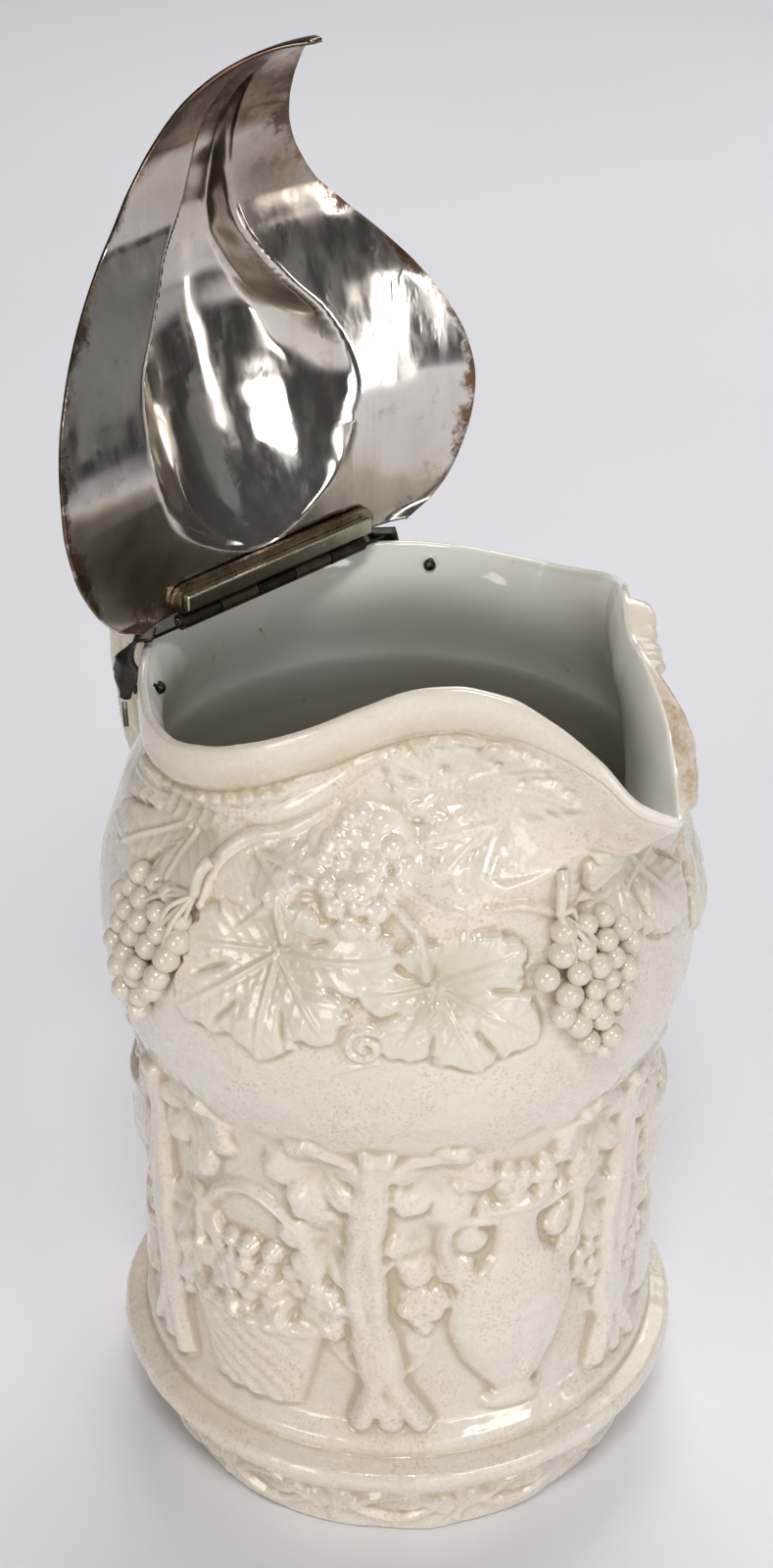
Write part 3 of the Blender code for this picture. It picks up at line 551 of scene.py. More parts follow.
BOLD_LEAVES = [NEAR_LEAF, FRONT_LEAF, SPOUT_LEAF, BACK_LEAF]
LOW_LEAVES = [NECK_LEAF, CREST_LEAF, FAINT_LEAF, PLAIN_LEAF, STEM_LEAF]
LOW_TONE = 0.3
# Stalks: route of angles and heights, radius, rise
STALKS = [
    ([(-66.4, 170), (-67.6, 173), (-68.4, 177), (-66.4, 181)], 1.4, 1.9),
    ([(-39.3, 165), (-39.6, 169), (-40.8, 174), (-43.6, 177.4), (-46.5, 181)], 1.6, 2.0),
    ([(-44.1, 184), (-40, 180.6), (-36.4, 178.4), (-31.6, 177)], 1.1, 0.9),
    ([(-10.8, 172), (-15.2, 174.8), (-20.6, 177), (-27, 177.4)], 1.4, 1.4),
    ([(-86.4, 171), (-85.4, 179), (-79.4, 186.6), (-70, 190), (-60, 196)], 1.8, 1.3),
    ([(-98, 190.4), (-79.5, 191.2), (-65.7, 196.6), (-55.4, 203.4), (-49.9, 207)], 2.4, 1.1),
    ([(-62, 190), (-66, 180), (-74, 172), (-80, 166)], 2.0, 0.8),
    ([(-30, 186), (-22, 181), (-14, 182), (-8, 186)], 1.6, 0.6),
]
# Dark pits along the saw edge of the crest leaf: angle and height
PITS = [
    (-43.8, 209), (-36.9, 211.4), (-33.8, 209), (-32.9, 204.2), (-28.7, 209.6), (-25.6, 209.4),
    (-20.8, 206.2), (-16.7, 203), (-39.9, 194.3), (-45.6, 186),
]
PIT_RADIUS = 1.1
PIT_DEPTH = 0.9
# Tendril under the leaves: angle and height
CURL = (-50.2, 149.8)
# Low bunches on the neck: their angles, and their grapes row by row
NECK_BUNCHES = (-52.3, 60, 128)
NECK_COUNTS = (3, 4, 5, 4, 3, 2)
# The hidden side repeats the near one: which leaves turn round to it, to what angle, and how green
FAR_LEAVES = [
    (FRONT_LEAF, 46, 1.0), (NEAR_LEAF, 115, 1.0), (NECK_LEAF, 34, LOW_TONE), (CREST_LEAF, 30, LOW_TONE),
    (FAINT_LEAF, 30, LOW_TONE), (PLAIN_LEAF, 96, LOW_TONE),
]


def mirrored(lobes):
    return [(-heading, length, half) for heading, length, half in lobes]


def carve_vine(wall):
    for angle, height, lift, lobes in LOW_LEAVES:
        carve_leaf(wall, angle, height, lift, lobes, tone=LOW_TONE)
    for (_, height, lift, lobes), angle, tone in FAR_LEAVES:
        carve_leaf(wall, angle, height, lift, mirrored(lobes), tone=tone)
    for route, thick, rise in STALKS:
        wall.ridge(route, thick, rise, tail=0.6)
        wall.ridge([(-a - 4, z) for a, z in route], thick, rise, tail=0.6)
    for centre in NECK_BUNCHES:
        wall.bead(centre, 187, 12, 1.3)
        carve_grapes(wall, centre, 194, NECK_COUNTS, 2.7, 1.3, 0.5, 5)
    for angle, height, lift, lobes in BOLD_LEAVES:
        carve_leaf(wall, angle, height, lift, lobes)
    for angle, side in ((CURL[0], 1), (-CURL[0] + 14, -1)):
        carve_spiral(wall, angle, CURL[1], 4.4, 1.6, 90 - side * 60, side, 0.9, 1.3)
        wall.ridge(swung(angle, side, [(3.8, 151.5), (8, 153), (12, 158)]), 0.8, 1.0)
        wall.ridge(swung(angle, side, [(2, 146), (-4, 143), (-7, 139.5)]), 0.7, 0.8, tail=0.4)
    for angle, height in PITS:
        wall.pit(angle, height, PIT_RADIUS, PIT_DEPTH)
        wall.pit(-angle - 2, height, PIT_RADIUS, PIT_DEPTH)


def carve_border(wall):
    """Leafy fringe that hangs below the collar round the back and sides."""
    for side in (-1, 1):
        angles = np.concatenate((np.arange(72, 128, 4), np.arange(152, 166, 4)))
        crest = mouth_edge(angles)[:, 2] - COLLAR[-1][1]
        for a, z in zip(angles, crest):
            wall.bead(side * a, z - 2.4, 3, 0.6)
            tooth = [(side * a, z - 2.6), (side * (a + 2.5), z - 6), (side * (a + 5), z - 10.4)]
            wall.ridge(tooth, 1.7, 1.6, 0.1, tail=0.3)


# Frieze of vines, jars and baskets between the shoulder and the foot
FRIEZE_FOOT = 39.5
FRIEZE_TOP = 117
BAY = 60
FIRST_TRUNK = -168
TRUNK_SWAY = 2.4
# Vessels: height above the foot and half width
JAR_OUTLINE = [
    (0, 7), (2.5, 7.5), (5, 4.4), (9, 7), (18, 12.6), (28, 15.2), (36, 14.2), (42, 9.4), (46, 5.8),
    (52, 5.2), (56, 6.6), (58, 8.6), (60, 8.8),
]
BASKET_OUTLINE = [(0, 11.5), (3, 12.2), (12, 14.6), (21, 17), (24, 18.4), (26, 18)]
CUP_OUTLINE = [
    (0, 8), (2, 8.2), (4, 4), (9, 2.6), (13, 4.6), (18, 11), (25, 14.4), (32, 15), (38, 16.2), (40, 16.4),
]
STONE_OUTLINE = [(0, 15), (3, 14.4), (5, 12.6), (13, 12), (15, 13.6), (18, 14)]
FRIEZE_TONE = 0.25
# Small leaf of a length of 1: heading, length and half width of its lobes
SMALL_LEAF = [(0, 1.0, 0.36), (52, 0.85, 0.34), (-52, 0.85, 0.34), (112, 0.6, 0.3), (-112, 0.6, 0.3)]


def small_leaf(wall, angle, height, size, turn, lift, base=0.0):
    lobes = [(heading + turn, length * size, half * size) for heading, length, half in SMALL_LEAF]
    carve_leaf(wall, angle, height, lift, lobes, base, 0.5, FRIEZE_TONE)


def jar_dress(level, turn):
    flutes = 0.5 * np.abs(np.sin(turn * 6)) * smooth((level - 6) / 4) * smooth((26 - level) / 3)
    bands = 0.7 * bell(level, 29, 0.8) + 0.6 * bell(level, 37, 0.8)
    curve = 0.5 * bell(level - 33, 1.6 * np.sin(turn * 9), 0.7)
    return flutes + bands + curve + 0.7 * bell(level, 58.5, 1.1)


def basket_dress(level, turn):
    row = np.floor(level / 2.6)
    weave = np.sin(turn * 13 + row * math.pi) * np.abs(np.sin(level / 2.6 * math.pi))
    hoop = bell(level, 24.4, 1.3) * (1 + 0.4 * np.sin(turn * 26 + level))
    return 0.55 * weave * (level < 22.5) + 1.1 * hoop


def cup_dress(level, turn):
    petals = 0.6 * np.abs(np.sin(turn * 5)) * smooth((level - 12) / 3) * smooth((25 - level) / 3)
    return petals + 0.7 * bell(level, 27, 0.8) + 0.6 * bell(level, 38.6, 0.9)


def stone_dress(level, turn):
    return 0.5 * np.abs(np.sin(turn * 4)) * smooth((level - 5) / 2) * smooth((13 - level) / 2)


def carve_jar(wall, angle):
    carve_vessel(wall, angle, FRIEZE_FOOT, JAR_OUTLINE, 4.2, jar_dress)
    for side in (-1, 1):
        ear = swung(angle, side, [(6, 95), (13, 96.5), (16.5, 91), (15, 83), (13, 78)])
        wall.ridge(ear, 1.5, 1.9, 0.8)
    carve_grapes(wall, angle + 2, 107, (3, 4, 3), 2.5, 2.0, 0.9, 11)
    small_leaf(wall, angle - 7, 104, 10, -60, 1.5, 0.6)
    small_leaf(wall, angle + 11, 103, 9, 50, 1.5, 0.6)


def carve_basket(wall, angle):
    carve_vessel(wall, angle, FRIEZE_FOOT, BASKET_OUTLINE, 4.0, basket_dress)
    rng = np.random.default_rng(23)
    for row, count in enumerate((7, 7, 6, 5, 3)):
        for k in range(count):
            across = (k - (count - 1) / 2) * 4.7 + rng.uniform(-0.7, 0.7)
            lift = 1.6 - 0.12 * across * across / 5 + rng.uniform(0, 0.8)
            wall.bead(angle + across, 66 + row * 3.9 + rng.uniform(-0.6, 0.6), 2.5, 2.2, max(0.3, lift))
    small_leaf(wall, angle - 13, 70, 12, -50, 2.2, 1.2)
    small_leaf(wall, angle + 13, 71, 12, 45, 2.2, 1.2)
    small_leaf(wall, angle + 2, 70, 11, 5, 2.4, 2.2)
    arch = swung(angle, 1, [(-16, 66), (-15, 82), (-8, 94), (0, 97.5), (8, 94), (15, 82), (16, 66)])
    wall.ridge(arch, 1.4, 1.7, 0.3)
    wall.ridge([(a + 1.2 * math.sin(z / 2.0), z) for a, z in even_run(arch, 1.5)], 0.7, 1.2, 1.3)


def carve_cup(wall, angle):
    carve_vessel(wall, angle, FRIEZE_FOOT, STONE_OUTLINE, 2.8, stone_dress)
    carve_vessel(wall, angle, FRIEZE_FOOT + 18, CUP_OUTLINE, 4.0, cup_dress)
    for side in (-1, 1):
        ear = swung(angle, side, [(14, 94), (20, 95), (22, 88), (19, 80), (11, 75)])
        wall.ridge(ear, 1.4, 1.8, 0.5)
    carve_grapes(wall, angle, 104, (4, 5), 2.5, 2.0, 0.9, 31)
    small_leaf(wall, angle - 10, 102, 11, -40, 1.6, 0.5)
    small_leaf(wall, angle + 10, 102, 11, 40, 1.6, 0.5)


def carve_trunk(wall, angle, number):
    """Twisted vine stock, with boughs that reach over the bays to either side."""
    rng = np.random.default_rng(40 + number)
    for strand in range(4):
        route = []
        for height in np.arange(FRIEZE_FOOT - 1, FRIEZE_TOP + 1, 3.0):
            share = (height - FRIEZE_FOOT) / (FRIEZE_TOP - FRIEZE_FOOT)
            sway = TRUNK_SWAY * math.sin(5 * share + number) + 2 * share * math.sin(2.3 * number)
            spread = 2.4 * (1.3 - 0.5 * share) + 3 * max(0.0, 0.12 - share) / 0.12
            route.append((angle + sway + spread * math.sin(share * 6 + strand * 1.57), height))
        wall.ridge(route, 2.6, 3.0, 0.6 + 0.5 * (strand % 2), tail=0.75)
    top = angle + TRUNK_SWAY * math.sin(5 + number) + 2 * math.sin(2.3 * number)
    for side in (-1, 1):
        bough = swung(top, side, [(0, 108), (7, 114), (15, 115.5), (24, 112.5)])
        wall.ridge(bough, 1.6, 1.8, 0.4, tail=0.5)
        small_leaf(wall, top + side * 12, 111, 17, side * 24, 2.0, 0.3)
        low = 84 + rng.uniform(-6, 6)
        twig = swung(angle, side, [(0, low - 6), (5, low), (10, low + 2)])
        wall.ridge(twig, 1.1, 1.4, 0.3, tail=0.5)
        small_leaf(wall, angle + side * 10, low + 3, 16, side * 35, 2.0, 0.2)
        carve_grapes(wall, angle + side * 9.5, low - 12, (3, 3, 2, 1), 2.3, 1.9, 0.5, number + side + 2)
        carve_spiral(wall, angle + side * 9, 60 + rng.uniform(-3, 3), 3.6, 1.4, 90, side, 0.7, 1.0)
        wall.ridge(swung(angle, side, [(3, 52), (7, 54), (9, 56.6)]), 0.8, 1.0)


def carve_frieze(wall):
    bays = (carve_basket, carve_jar, carve_cup)
    for bay in range(360 // BAY):
        angle = FIRST_TRUNK + bay * BAY
        carve_trunk(wall, angle, bay)
        bays[(bay + 2) % 3](wall, angle + BAY / 2)


# Foot
FOOT_UNITS = 12
FOOT_MIDDLE = 10.4


def carve_foot(wall):
    """Pointed ovals and scrolls in turn round the foot."""
    pitch = 360 / FOOT_UNITS
    for unit in range(FOOT_UNITS):
        angle = -180 + (unit + 0.5) * pitch
        between = angle + pitch / 2
        for side in (-1, 1):
            arc = []
            for share in np.linspace(-1, 1, 13):
                arc.append((angle + share * 9.5, FOOT_MIDDLE + side * 4.2 * (1 - share * share)))
            wall.ridge(arc, 1.4, 2.1)
            scroll = between + side * 3.2
            carve_spiral(wall, scroll, FOOT_MIDDLE + side, 3.0, 1.3, 180, side, 1.0, 1.7)
        carve_leaf(wall, angle - 7, FOOT_MIDDLE, 1.8, [(90, 15, 2.6)], 0.2, 0.4, FRIEZE_TONE)
        wall.ridge(swung(between, 1, [(0, 4), (1, 9), (0, 16)]), 1.2, 1.3)


# Finished body
# Grooves round the flange and under the collar, and where the frieze's softer carving ends
FLANGE_GROOVE = 30.4
COLLAR_GROOVE = 0.8
FRIEZE_HIGH = 122
# Hand-worked waves of the surface: rise, wavelength and seed, all over and where it was worked more
BODY_WAVES = [(0.26, 19, 3), (0.09, 6, 4)]
WORKED_WAVES = [(0.22, 11, 6)]
# How far the collar's skin stays under its drawn line, clear of the shut lid
CREST_EASE = 0.08
# Far lip: how far it swells and where, how far down that fades, how far it sags and where
LIP_OUT = 2.8
LIP_PLACE = 6
LIP_DROP = 14
LIP_SAG = 4.5
LIP_SAG_PLACE = 24
# Knobs outside it: degrees from the spout, depth below the crest, radius, rise
LIP_KNOBS = [
    (31, 2.5, 4, 4.6), (27, 3, 3.4, 4.4), (23, 3.5, 3.2, 4.4), (19.5, 3.5, 2.8, 3.6), (16.5, 3.5, 2.4, 3),
    (29, 8.5, 3.6, 3.4), (24.5, 9, 3.6, 3.4),
]
# Height at which painted shade starts to darken the inside to olive, and over what drop
INSIDE_SHADE_START = 188
INSIDE_SHADE_DROP = 46


def carve(wall):
    carve_vine(wall)
    carve_border(wall)
    carve_frieze(wall)
    carve_foot(wall)
    below = wall.path - wall.path[wall.top]
    fade = smooth(below / 2.2) * smooth((wall.point[:, :, 2] - 0.8) / 2)
    fade[:wall.top] = 0
    fade[wall.foot:] = 0
    cut = np.maximum(wall.carving, -DEEPEST) * fade
    soft = smooth((FRIEZE_HIGH - wall.point[:, :, 2]) / 6)
    wall.carving = blur(cut, 0.7) * (1 - soft) + blur(cut, 1.6) * soft
    groove = 0.7 * bell(wall.point[:, :, 2], FLANGE_GROOVE, 0.7) * (fade > 0)
    under = COLLAR_GROOVE * bell(below, 1.0, 0.7) * smooth((mouth_side(wall.angle) - 12) / 20)
    wall.carving -= groove + under
    wall.carving[:wall.top] = 0
    wall.carving[wall.foot:] = 0


def unevenness(wall):
    """Slight waves of the surface: most in the frieze and at the neck, and none proud of the collar."""
    rise = ripples(wall.point, BODY_WAVES)
    high = wall.point[:, :, 2]
    worked = smooth((FRIEZE_HIGH - high) / 6) * smooth((high - 40) / 6) + smooth((high - NECK_HEIGHT) / 8)
    rise += ripples(wall.point, WORKED_WAVES) * worked
    rise[:wall.rim] *= 0.25
    rise[wall.rim:wall.top] = np.minimum(0.4 * rise[wall.rim:wall.top], 0) - CREST_EASE
    return rise


def drill_hole(wall, points, quads, side):
    """Quads with a round hole cut through both skins of the collar, and the triangles that line it."""
    centre = polar(np.array([side * HOLE_ANGLE]), 1.0, 0.0)[0]
    across = np.cross((0, 0, 1), centre)
    offset = points - (0, 0, HOLE_HEIGHT)
    flat = np.stack((offset @ across, offset[:, 2]), axis=1)
    ahead = offset @ centre > 0
    middle = flat[quads].mean(axis=1)
    cut = (np.hypot(middle[:, 0], middle[:, 1]) < HOLE_RADIUS) & ahead[quads[:, 0]]
    kept = quads[~cut]
    edge = np.intersect1d(kept.ravel(), quads[cut].ravel())
    reach = np.hypot(flat[edge, 0], flat[edge, 1])
    pull = HOLE_RADIUS / reach - 1
    points[edge] += (flat[edge, :1] * across + flat[edge, 1:] * np.array((0, 0, 1))) * pull[:, None]
    around = np.arctan2(flat[edge, 1], flat[edge, 0])
    deep = edge < wall.rim * COLUMNS
    inner = edge[deep][np.argsort(around[deep])]
    outer = edge[~deep][np.argsort(around[~deep])]
    turn = {int(v): float(a) for v, a in zip(edge, around)}
    return kept, lining(inner, outer, turn)


def lining(inner, outer, turn):
    """Triangles between two rings of points that lie in order of their turn."""
    triangles = []
    i = 0
    k = 0
    while i < len(inner) or k < len(outer):
        a = inner[i % len(inner)]
        b = outer[k % len(outer)]
        next_inner = turn[int(inner[i])] if i < len(inner) else math.inf
        next_outer = turn[int(outer[k])] if k < len(outer) else math.inf
        if next_inner <= next_outer:
            triangles.append((a, inner[(i + 1) % len(inner)], b))
            i += 1
        else:
            triangles.append((a, outer[(k + 1) % len(outer)], b))
            k += 1
    return triangles


def far_lip(angle):
    """Where the far lip is rough and bare, by angle."""
    return smooth((angle - 0.5) / 3) * smooth((19 - angle) / 8)


def shape_lip(wall, points):
    """The far lip: it sags behind the spout, swells near the tip and has knobs of fruit outside it."""
    angle = wall.angle
    rows = slice(wall.rim, wall.base)
    run = np.linspace(0, 1, wall.top - wall.rim)[:, None]
    below = wall.path[wall.top:wall.base] - wall.path[wall.top]
    collar = smooth((run - 0.12) / 0.3) + 0 * angle
    share = np.concatenate((collar, smooth((LIP_DROP - below) / LIP_DROP)))
    swell = bell(angle, LIP_PLACE, 5) + 0.35 * far_lip(angle)
    out = share * LIP_OUT * swell * smooth(angle / 3) * (1 + 0.12 * ripple(points[rows], 7, 12))
    for place, drop, radius, rise in LIP_KNOBS:
        middle = collar_ring(np.array([place]), 2.6, drop)[0]
        near = np.linalg.norm(points[rows] - middle, axis=-1)
        knob = rise * np.sqrt(np.maximum(0, 1 - (near / radius) ** 2))
        out = np.maximum(out, knob * smooth(share * 2))
    points[rows] += mouth_normal(angle)[None, :, :] * out[:, :, None]
    sag = LIP_SAG * bell(angle, LIP_SAG_PLACE, 8)
    points[:, :, 2] -= sag * smooth(1 - np.abs(wall.path - wall.path[wall.rim]) / 26)


def make_body(glaze, inner_glaze):
    wall = Wall()
    carve(wall)
    points = wall.point + wall.normal * (wall.carving + unevenness(wall))[:, :, None]
    points[:, :, 2] = np.maximum(points[:, :, 2], 0)
    shape_lip(wall, points)
    rows = len(points)
    flat = points.reshape(-1, 3).copy()
    quads = grid_quads(rows, COLUMNS, True)
    triangles = []
    for side in (-1, 1):
        quads, bore = drill_hole(wall, flat, quads, side)
        triangles += bore
    ends = []
    for row, step in ((0, 1), (rows - 1, -1)):
        hub = len(flat) + len(ends)
        ends.append(points[row].mean(axis=0))
        ring = np.arange(COLUMNS) + row * COLUMNS
        fan = np.stack((ring, np.roll(ring, -1), np.full(COLUMNS, hub)), axis=1)
        triangles += [tuple(t[::step]) for t in fan]
    body = make_mesh("carved_body", np.concatenate((flat, ends)), quads, triangles)
    paint_body(body, wall)
    settle(body, glaze, "jug", "jug_body")
    body.data.materials.append(inner_glaze)
    corners = np.zeros(len(body.data.loops), np.int32)
    starts = np.zeros(len(body.data.polygons), np.int32)
    body.data.loops.foreach_get("vertex_index", corners)
    body.data.polygons.foreach_get("loop_start", starts)
    first = corners[starts]
    inside = (first < (wall.rim + 3) * COLUMNS) | (first == len(flat))
    body.data.polygons.foreach_set("material_index", inside.astype(np.int32))


def collar_band(wall):
    """Darker glaze on the lower half of the collar, and painted shade in the groove under it."""
    band = np.zeros(wall.carving.shape)
    run = np.linspace(0, 1, wall.top - wall.rim)[:, None]
    band[wall.rim:wall.top] = smooth((run - 0.45) / 0.4)
    below = wall.path[wall.top:wall.base] - wall.path[wall.top]
    band[wall.top:wall.base] = smooth((3 - below) / 1.5)
    return band * smooth((mouth_side(wall.angle) - 8) / 14)


def spout_pool_and_shade(wall):
    """Olive glaze gathered inside the spout below its edge, and painted shade there."""
    below = wall.path[wall.rim] - wall.path
    return 0.75 * smooth((below - 3) / 14) * smooth((34 - mouth_side(wall.angle)) / 16)


def paint_body(body, wall):
    """Numbers for the glaze: relief at two scales, which sets pooled glaze and painted shade in hollows,
    leaf or ground, the lip's stain, painted shade down inside, and the collar band with its painted shade.
    """
    proud = wall.carving - blur(wall.carving, 4)
    broad = wall.carving - blur(wall.carving, 18)
    depth = np.abs(wall.path - wall.path[wall.rim])
    ground = np.zeros_like(proud)
    ground[wall.top:wall.foot] = 1
    fields = {
        # Relief numbers, which set pooled glaze and painted shade in the hollows
        "proud": 0.5 + proud / 2.4,
        "broad": 0.5 + broad / 5,
        "stain": far_lip(wall.angle) * smooth((7 - depth) / 3) * (wall.path > wall.path[wall.rim] - 1),
        "ground": ground,
        "leafy": wall.leafy,
        "hollow": wall.hollow,
        # Painted shade: the inside darkens to olive with depth and inside the spout
        "deep": np.maximum(smooth((INSIDE_SHADE_START - wall.point[:, :, 2]) / INSIDE_SHADE_DROP), spout_pool_and_shade(wall)),
        # Collar band: darker glaze, with painted shade in the groove under the collar
        "band": collar_band(wall),
    }
    for name, field in fields.items():
        paint(body, name, np.concatenate((np.clip(field, 0, 1).ravel(), (0.5, 0.5))))


# Sprigs of grapes in full relief: node, name, angle, height of the middle, where the stalk comes from
SPRIGS = [
    ("grape_bunch_near", "near_grapes", -97, 156, (-86, 174)),
    ("grape_bunch_spout", "spout_grapes", -8, 155, (-13, 174)),
    ("grape_bunch_far", "far_grapes", 81, 156, (76, 175)),
]
# Bunch: radius of a grape, grapes row by row, length, top above its middle, pitch along a row
GRAPE = 2.85
SPRIG_COUNTS = (3, 4, 5, 4, 4, 3, 2, 1)
SPRIG_LENGTH = 33.0
SPRIG_TOP = 15.5
SPRIG_PITCH = 5.2
# How far the bunch swells out, and its half width and half length there
SPRIG_SWELL = 4.2
SPRIG_HALF = (14, 20)
# Share of the grapes that hang on a stem of their own
STEMMED = 0.35


def wall_radius(height):
    table = sorted((z, r) for r, z in WALL_PROFILE)
    return through(table, height)


def ball(centre, radius, sides=18, rings=12):
    """Ball of quads, with a ring too small to see at each pole."""
    tilt = np.linspace(0.02, math.pi - 0.02, rings)[:, None]
    turn = np.linspace(0, 2 * math.pi, sides, endpoint=False)[None, :]
    x = np.sin(tilt) * np.cos(turn)
    y = np.sin(tilt) * np.sin(turn)
    z = np.cos(tilt) + np.zeros_like(turn)
    return centre + radius * np.stack((x, y, z), axis=-1), grid_quads(rings, sides, True)


def make_sprig(node, name, angle, height, stalk, seed, material):
    """Bunch of grapes, some on stems that meet at a fork, and the stalk up to the vine."""
    rng = np.random.default_rng(seed)
    parts = []
    fork = polar(np.array(stalk[0]), wall_radius(stalk[1]) + 2.4, stalk[1])
    rows = len(SPRIG_COUNTS)
    pitch = SPRIG_LENGTH / rows
    for row, count in enumerate(SPRIG_COUNTS):
        level = height + SPRIG_TOP - row * pitch + rng.uniform(-0.5, 0.5)
        for k in range(count):
            across = (k - (count - 1) / 2) * SPRIG_PITCH + rng.uniform(-0.8, 0.8) + 1.2 * (row % 2)
            dome = 1 - (across / SPRIG_HALF[0]) ** 2 - ((level - height) / SPRIG_HALF[1]) ** 2
            swell = SPRIG_SWELL * math.sqrt(max(0.05, dome))
            size = GRAPE * rng.uniform(0.86, 1.08)
            reach = wall_radius(level) + 1.0 + swell * rng.uniform(0.45, 1.0)
            centre = polar(np.array(angle + math.degrees(across / reach)), reach, level)
            parts.append(ball(centre, size))
            if rng.random() < STEMMED:
                tip = centre + (fork - centre) / np.linalg.norm(fork - centre) * size * 0.9
                bend = (tip + fork) / 2 * (1 + 0.02 * rng.random())
                route = even_run([fork, bend, tip], 1.2)
                parts.append(tube(route, np.linspace(0.75, 0.5, len(route)), 8))
    low = polar(np.array(stalk[0] + 2), wall_radius(stalk[1] + 8) - 0.5, stalk[1] + 8)
    route = even_run([low, (low + fork) / 2 * 1.01, fork], 1.2)
    parts.append(tube(route, np.linspace(1.5, 1.1, len(route)), 10))
    points, quads = join_meshes(parts)
    sprig = make_mesh(name, points, quads)
    for field, value in (("proud", 0.6), ("broad", 0.6), ("leafy", 0.8)):
        paint(sprig, field, np.full(len(points), value))
    settle(sprig, material, "jug", node)


# Handle: middle line in the plane of symmetry, x and z, then the radius there
HANDLE_LINE = [
    (-51, 183, 8.2), (-66, 192, 7.2), (-80, 192.5, 6.8), (-87.5, 184, 7), (-88.5, 172, 7.2),
    (-86.5, 159, 7.2), (-83, 144, 7), (-76.5, 128.5, 7), (-67, 114, 7.4), (-54, 101, 8.4),
]
# Bark stands out from this share of the radius; knots: place along, facing in radians, rise
HANDLE_SLIM = 0.93
HANDLE_KNOTS = [(0.2, 1.0, 1.6), (0.42, 3.6, 1.8), (0.62, 5.4, 1.5), (0.8, 2.2, 1.7)]
HANDLE_SIDES = 72
# How far the ends reach into the wall
HANDLE_SINK = 1.2
# Foot of the collar at the back: its height and distance from the axis
COLLAR_FOOT = 193.4
COLLAR_REACH = 54.7


def keep_out(grid):
    """Push points of the handle out of the jug, to just under the outside of its wall."""
    reach = np.hypot(grid[..., 0], grid[..., 1])
    rise = np.clip((grid[..., 2] - NECK_HEIGHT) / (COLLAR_FOOT - NECK_HEIGHT), 0, 1)
    neck = WALL_PROFILE[0][0] + (COLLAR_REACH - WALL_PROFILE[0][0]) * smooth(rise)
    neck = neck - THROAT * np.sin(math.pi * rise ** THROAT_HIGH)
    least = np.where(rise > 0, neck, wall_radius(np.minimum(grid[..., 2], NECK_HEIGHT))) - HANDLE_SINK
    grid[..., :2] *= np.maximum(1, least / reach)[..., None]


def make_handle(material):
    run = even_run(HANDLE_LINE, 0.7)
    line = np.stack((run[:, 0], np.zeros(len(run)), run[:, 1]), axis=1)
    grid, quads = tube(line, run[:, 2] * HANDLE_SLIM, HANDLE_SIDES)
    turn = np.linspace(0, 2 * math.pi, HANDLE_SIDES, endpoint=False)[None, :]
    along = np.linspace(0, 1, len(run))[:, None]
    bark = 0.35 * np.sin(turn * 7 + 5 * np.sin(along * 11)) + 0.25 * np.sin(turn * 13 + along * 40)
    knots = 0.0
    for place, facing, size in HANDLE_KNOTS:
        apart = (turn - facing + math.pi) % (2 * math.pi) - math.pi
        knots = knots + size * np.exp(-((along - place) / 0.022) ** 2 - (apart / 0.55) ** 2)
    normal = grid_normals(grid, True)
    outward = np.sign(np.sum(normal * (grid - line[:, None, :]), axis=2, keepdims=True))
    grid = grid + normal * outward * (bark + knots)[:, :, None]
    keep_out(grid)
    handle = make_mesh("branch_handle", grid, quads)
    # The proud numbers set pooled glaze and painted shade in the bark's grooves
    paint(handle, "proud", np.clip(0.5 + (bark + knots) / 2.5, 0, 1))
    paint(handle, "broad", np.full(grid.shape[:2], 0.6))
    paint(handle, "ground", np.ones(grid.shape[:2]))
    settle(handle, material, "jug", "handle")


# Lid
def lid_points():
    """Underside of the shut lid in its own frame, and each place's distance from the edge."""
    first = LID_STATIONS[0][0]
    last = LID_STATIONS[-1][0]
    forward = np.linspace(first, last, LID_ROWS)[:, None]
    share = np.sin(np.linspace(-math.pi / 2, math.pi / 2, LID_COLUMNS))[None, :]
    half = through(LID_STATIONS, forward, 1)
    edge = through(LID_STATIONS, forward, 2)
    crown = through(LID_STATIONS, forward, 3)
    power = LID_ARCH + LID_FLAT * np.maximum(0, 1 - forward / LID_FLAT_REACH)
    height = edge + (crown - edge) * (1 - np.abs(share) ** power)
    aside = share * half - through(PEAR_STATIONS, forward, 3)
    near_edge = np.abs(aside) / through(PEAR_STATIONS, forward, 1)
    bank = np.clip((near_edge - PEAR_FLAT) / (1 - PEAR_FLAT), 0, 1)
    bowl = np.maximum(0, through(PEAR_STATIONS, forward, 2) - PEAR_BEND * aside ** 2)
    height = height + bowl * (1 - bank ** 2)
    points = np.stack((forward + 0 * share, share * half, height), axis=-1)
    rim = np.minimum(half * (1 - np.abs(share)), np.minimum(forward - first, last - forward))
    points[:, :, 2] += ripples(points, LID_WAVES) * smooth(rim / LID_TRUE)
    return points, rim


def lid_smoke(points):
    """How smoked the plate is: all over the tip, less below it, and in a patch beside the pear's neck."""
    forward = points[:, :, 0]
    patch = np.exp(-((forward - SMOKE_PLACE[0]) / SMOKE_REACH) ** 2
                   - ((points[:, :, 1] - SMOKE_PLACE[1]) / SMOKE_REACH) ** 2)
    tip = 0.3 * smooth((forward - 50) / 40) + 0.7 * smooth((forward - SMOKE_TIP) / 6)
    return np.maximum(0.9 * patch, tip)


def lid_seam(points):
    """Dark crease across the plate below the tip, broken at the pear's neck."""
    across = points[:, :, 1]
    line = points[:, :, 0] - SEAM_PLACE - 1.6 * np.sin(across / 6) - 0.06 * across
    return bell(line, 0, 0.8) * smooth((np.abs(across) - 4) / 3)


def opened(points):
    """Points of the lid's own frame, hung on the pin and turned open."""
    a = math.radians(-LID_OPEN)
    x = points[..., 0] * math.cos(a) + points[..., 2] * math.sin(a) + PIN_X
    z = -points[..., 0] * math.sin(a) + points[..., 2] * math.cos(a) + PIN_Z
    return np.stack((x, points[..., 1], z), axis=-1)


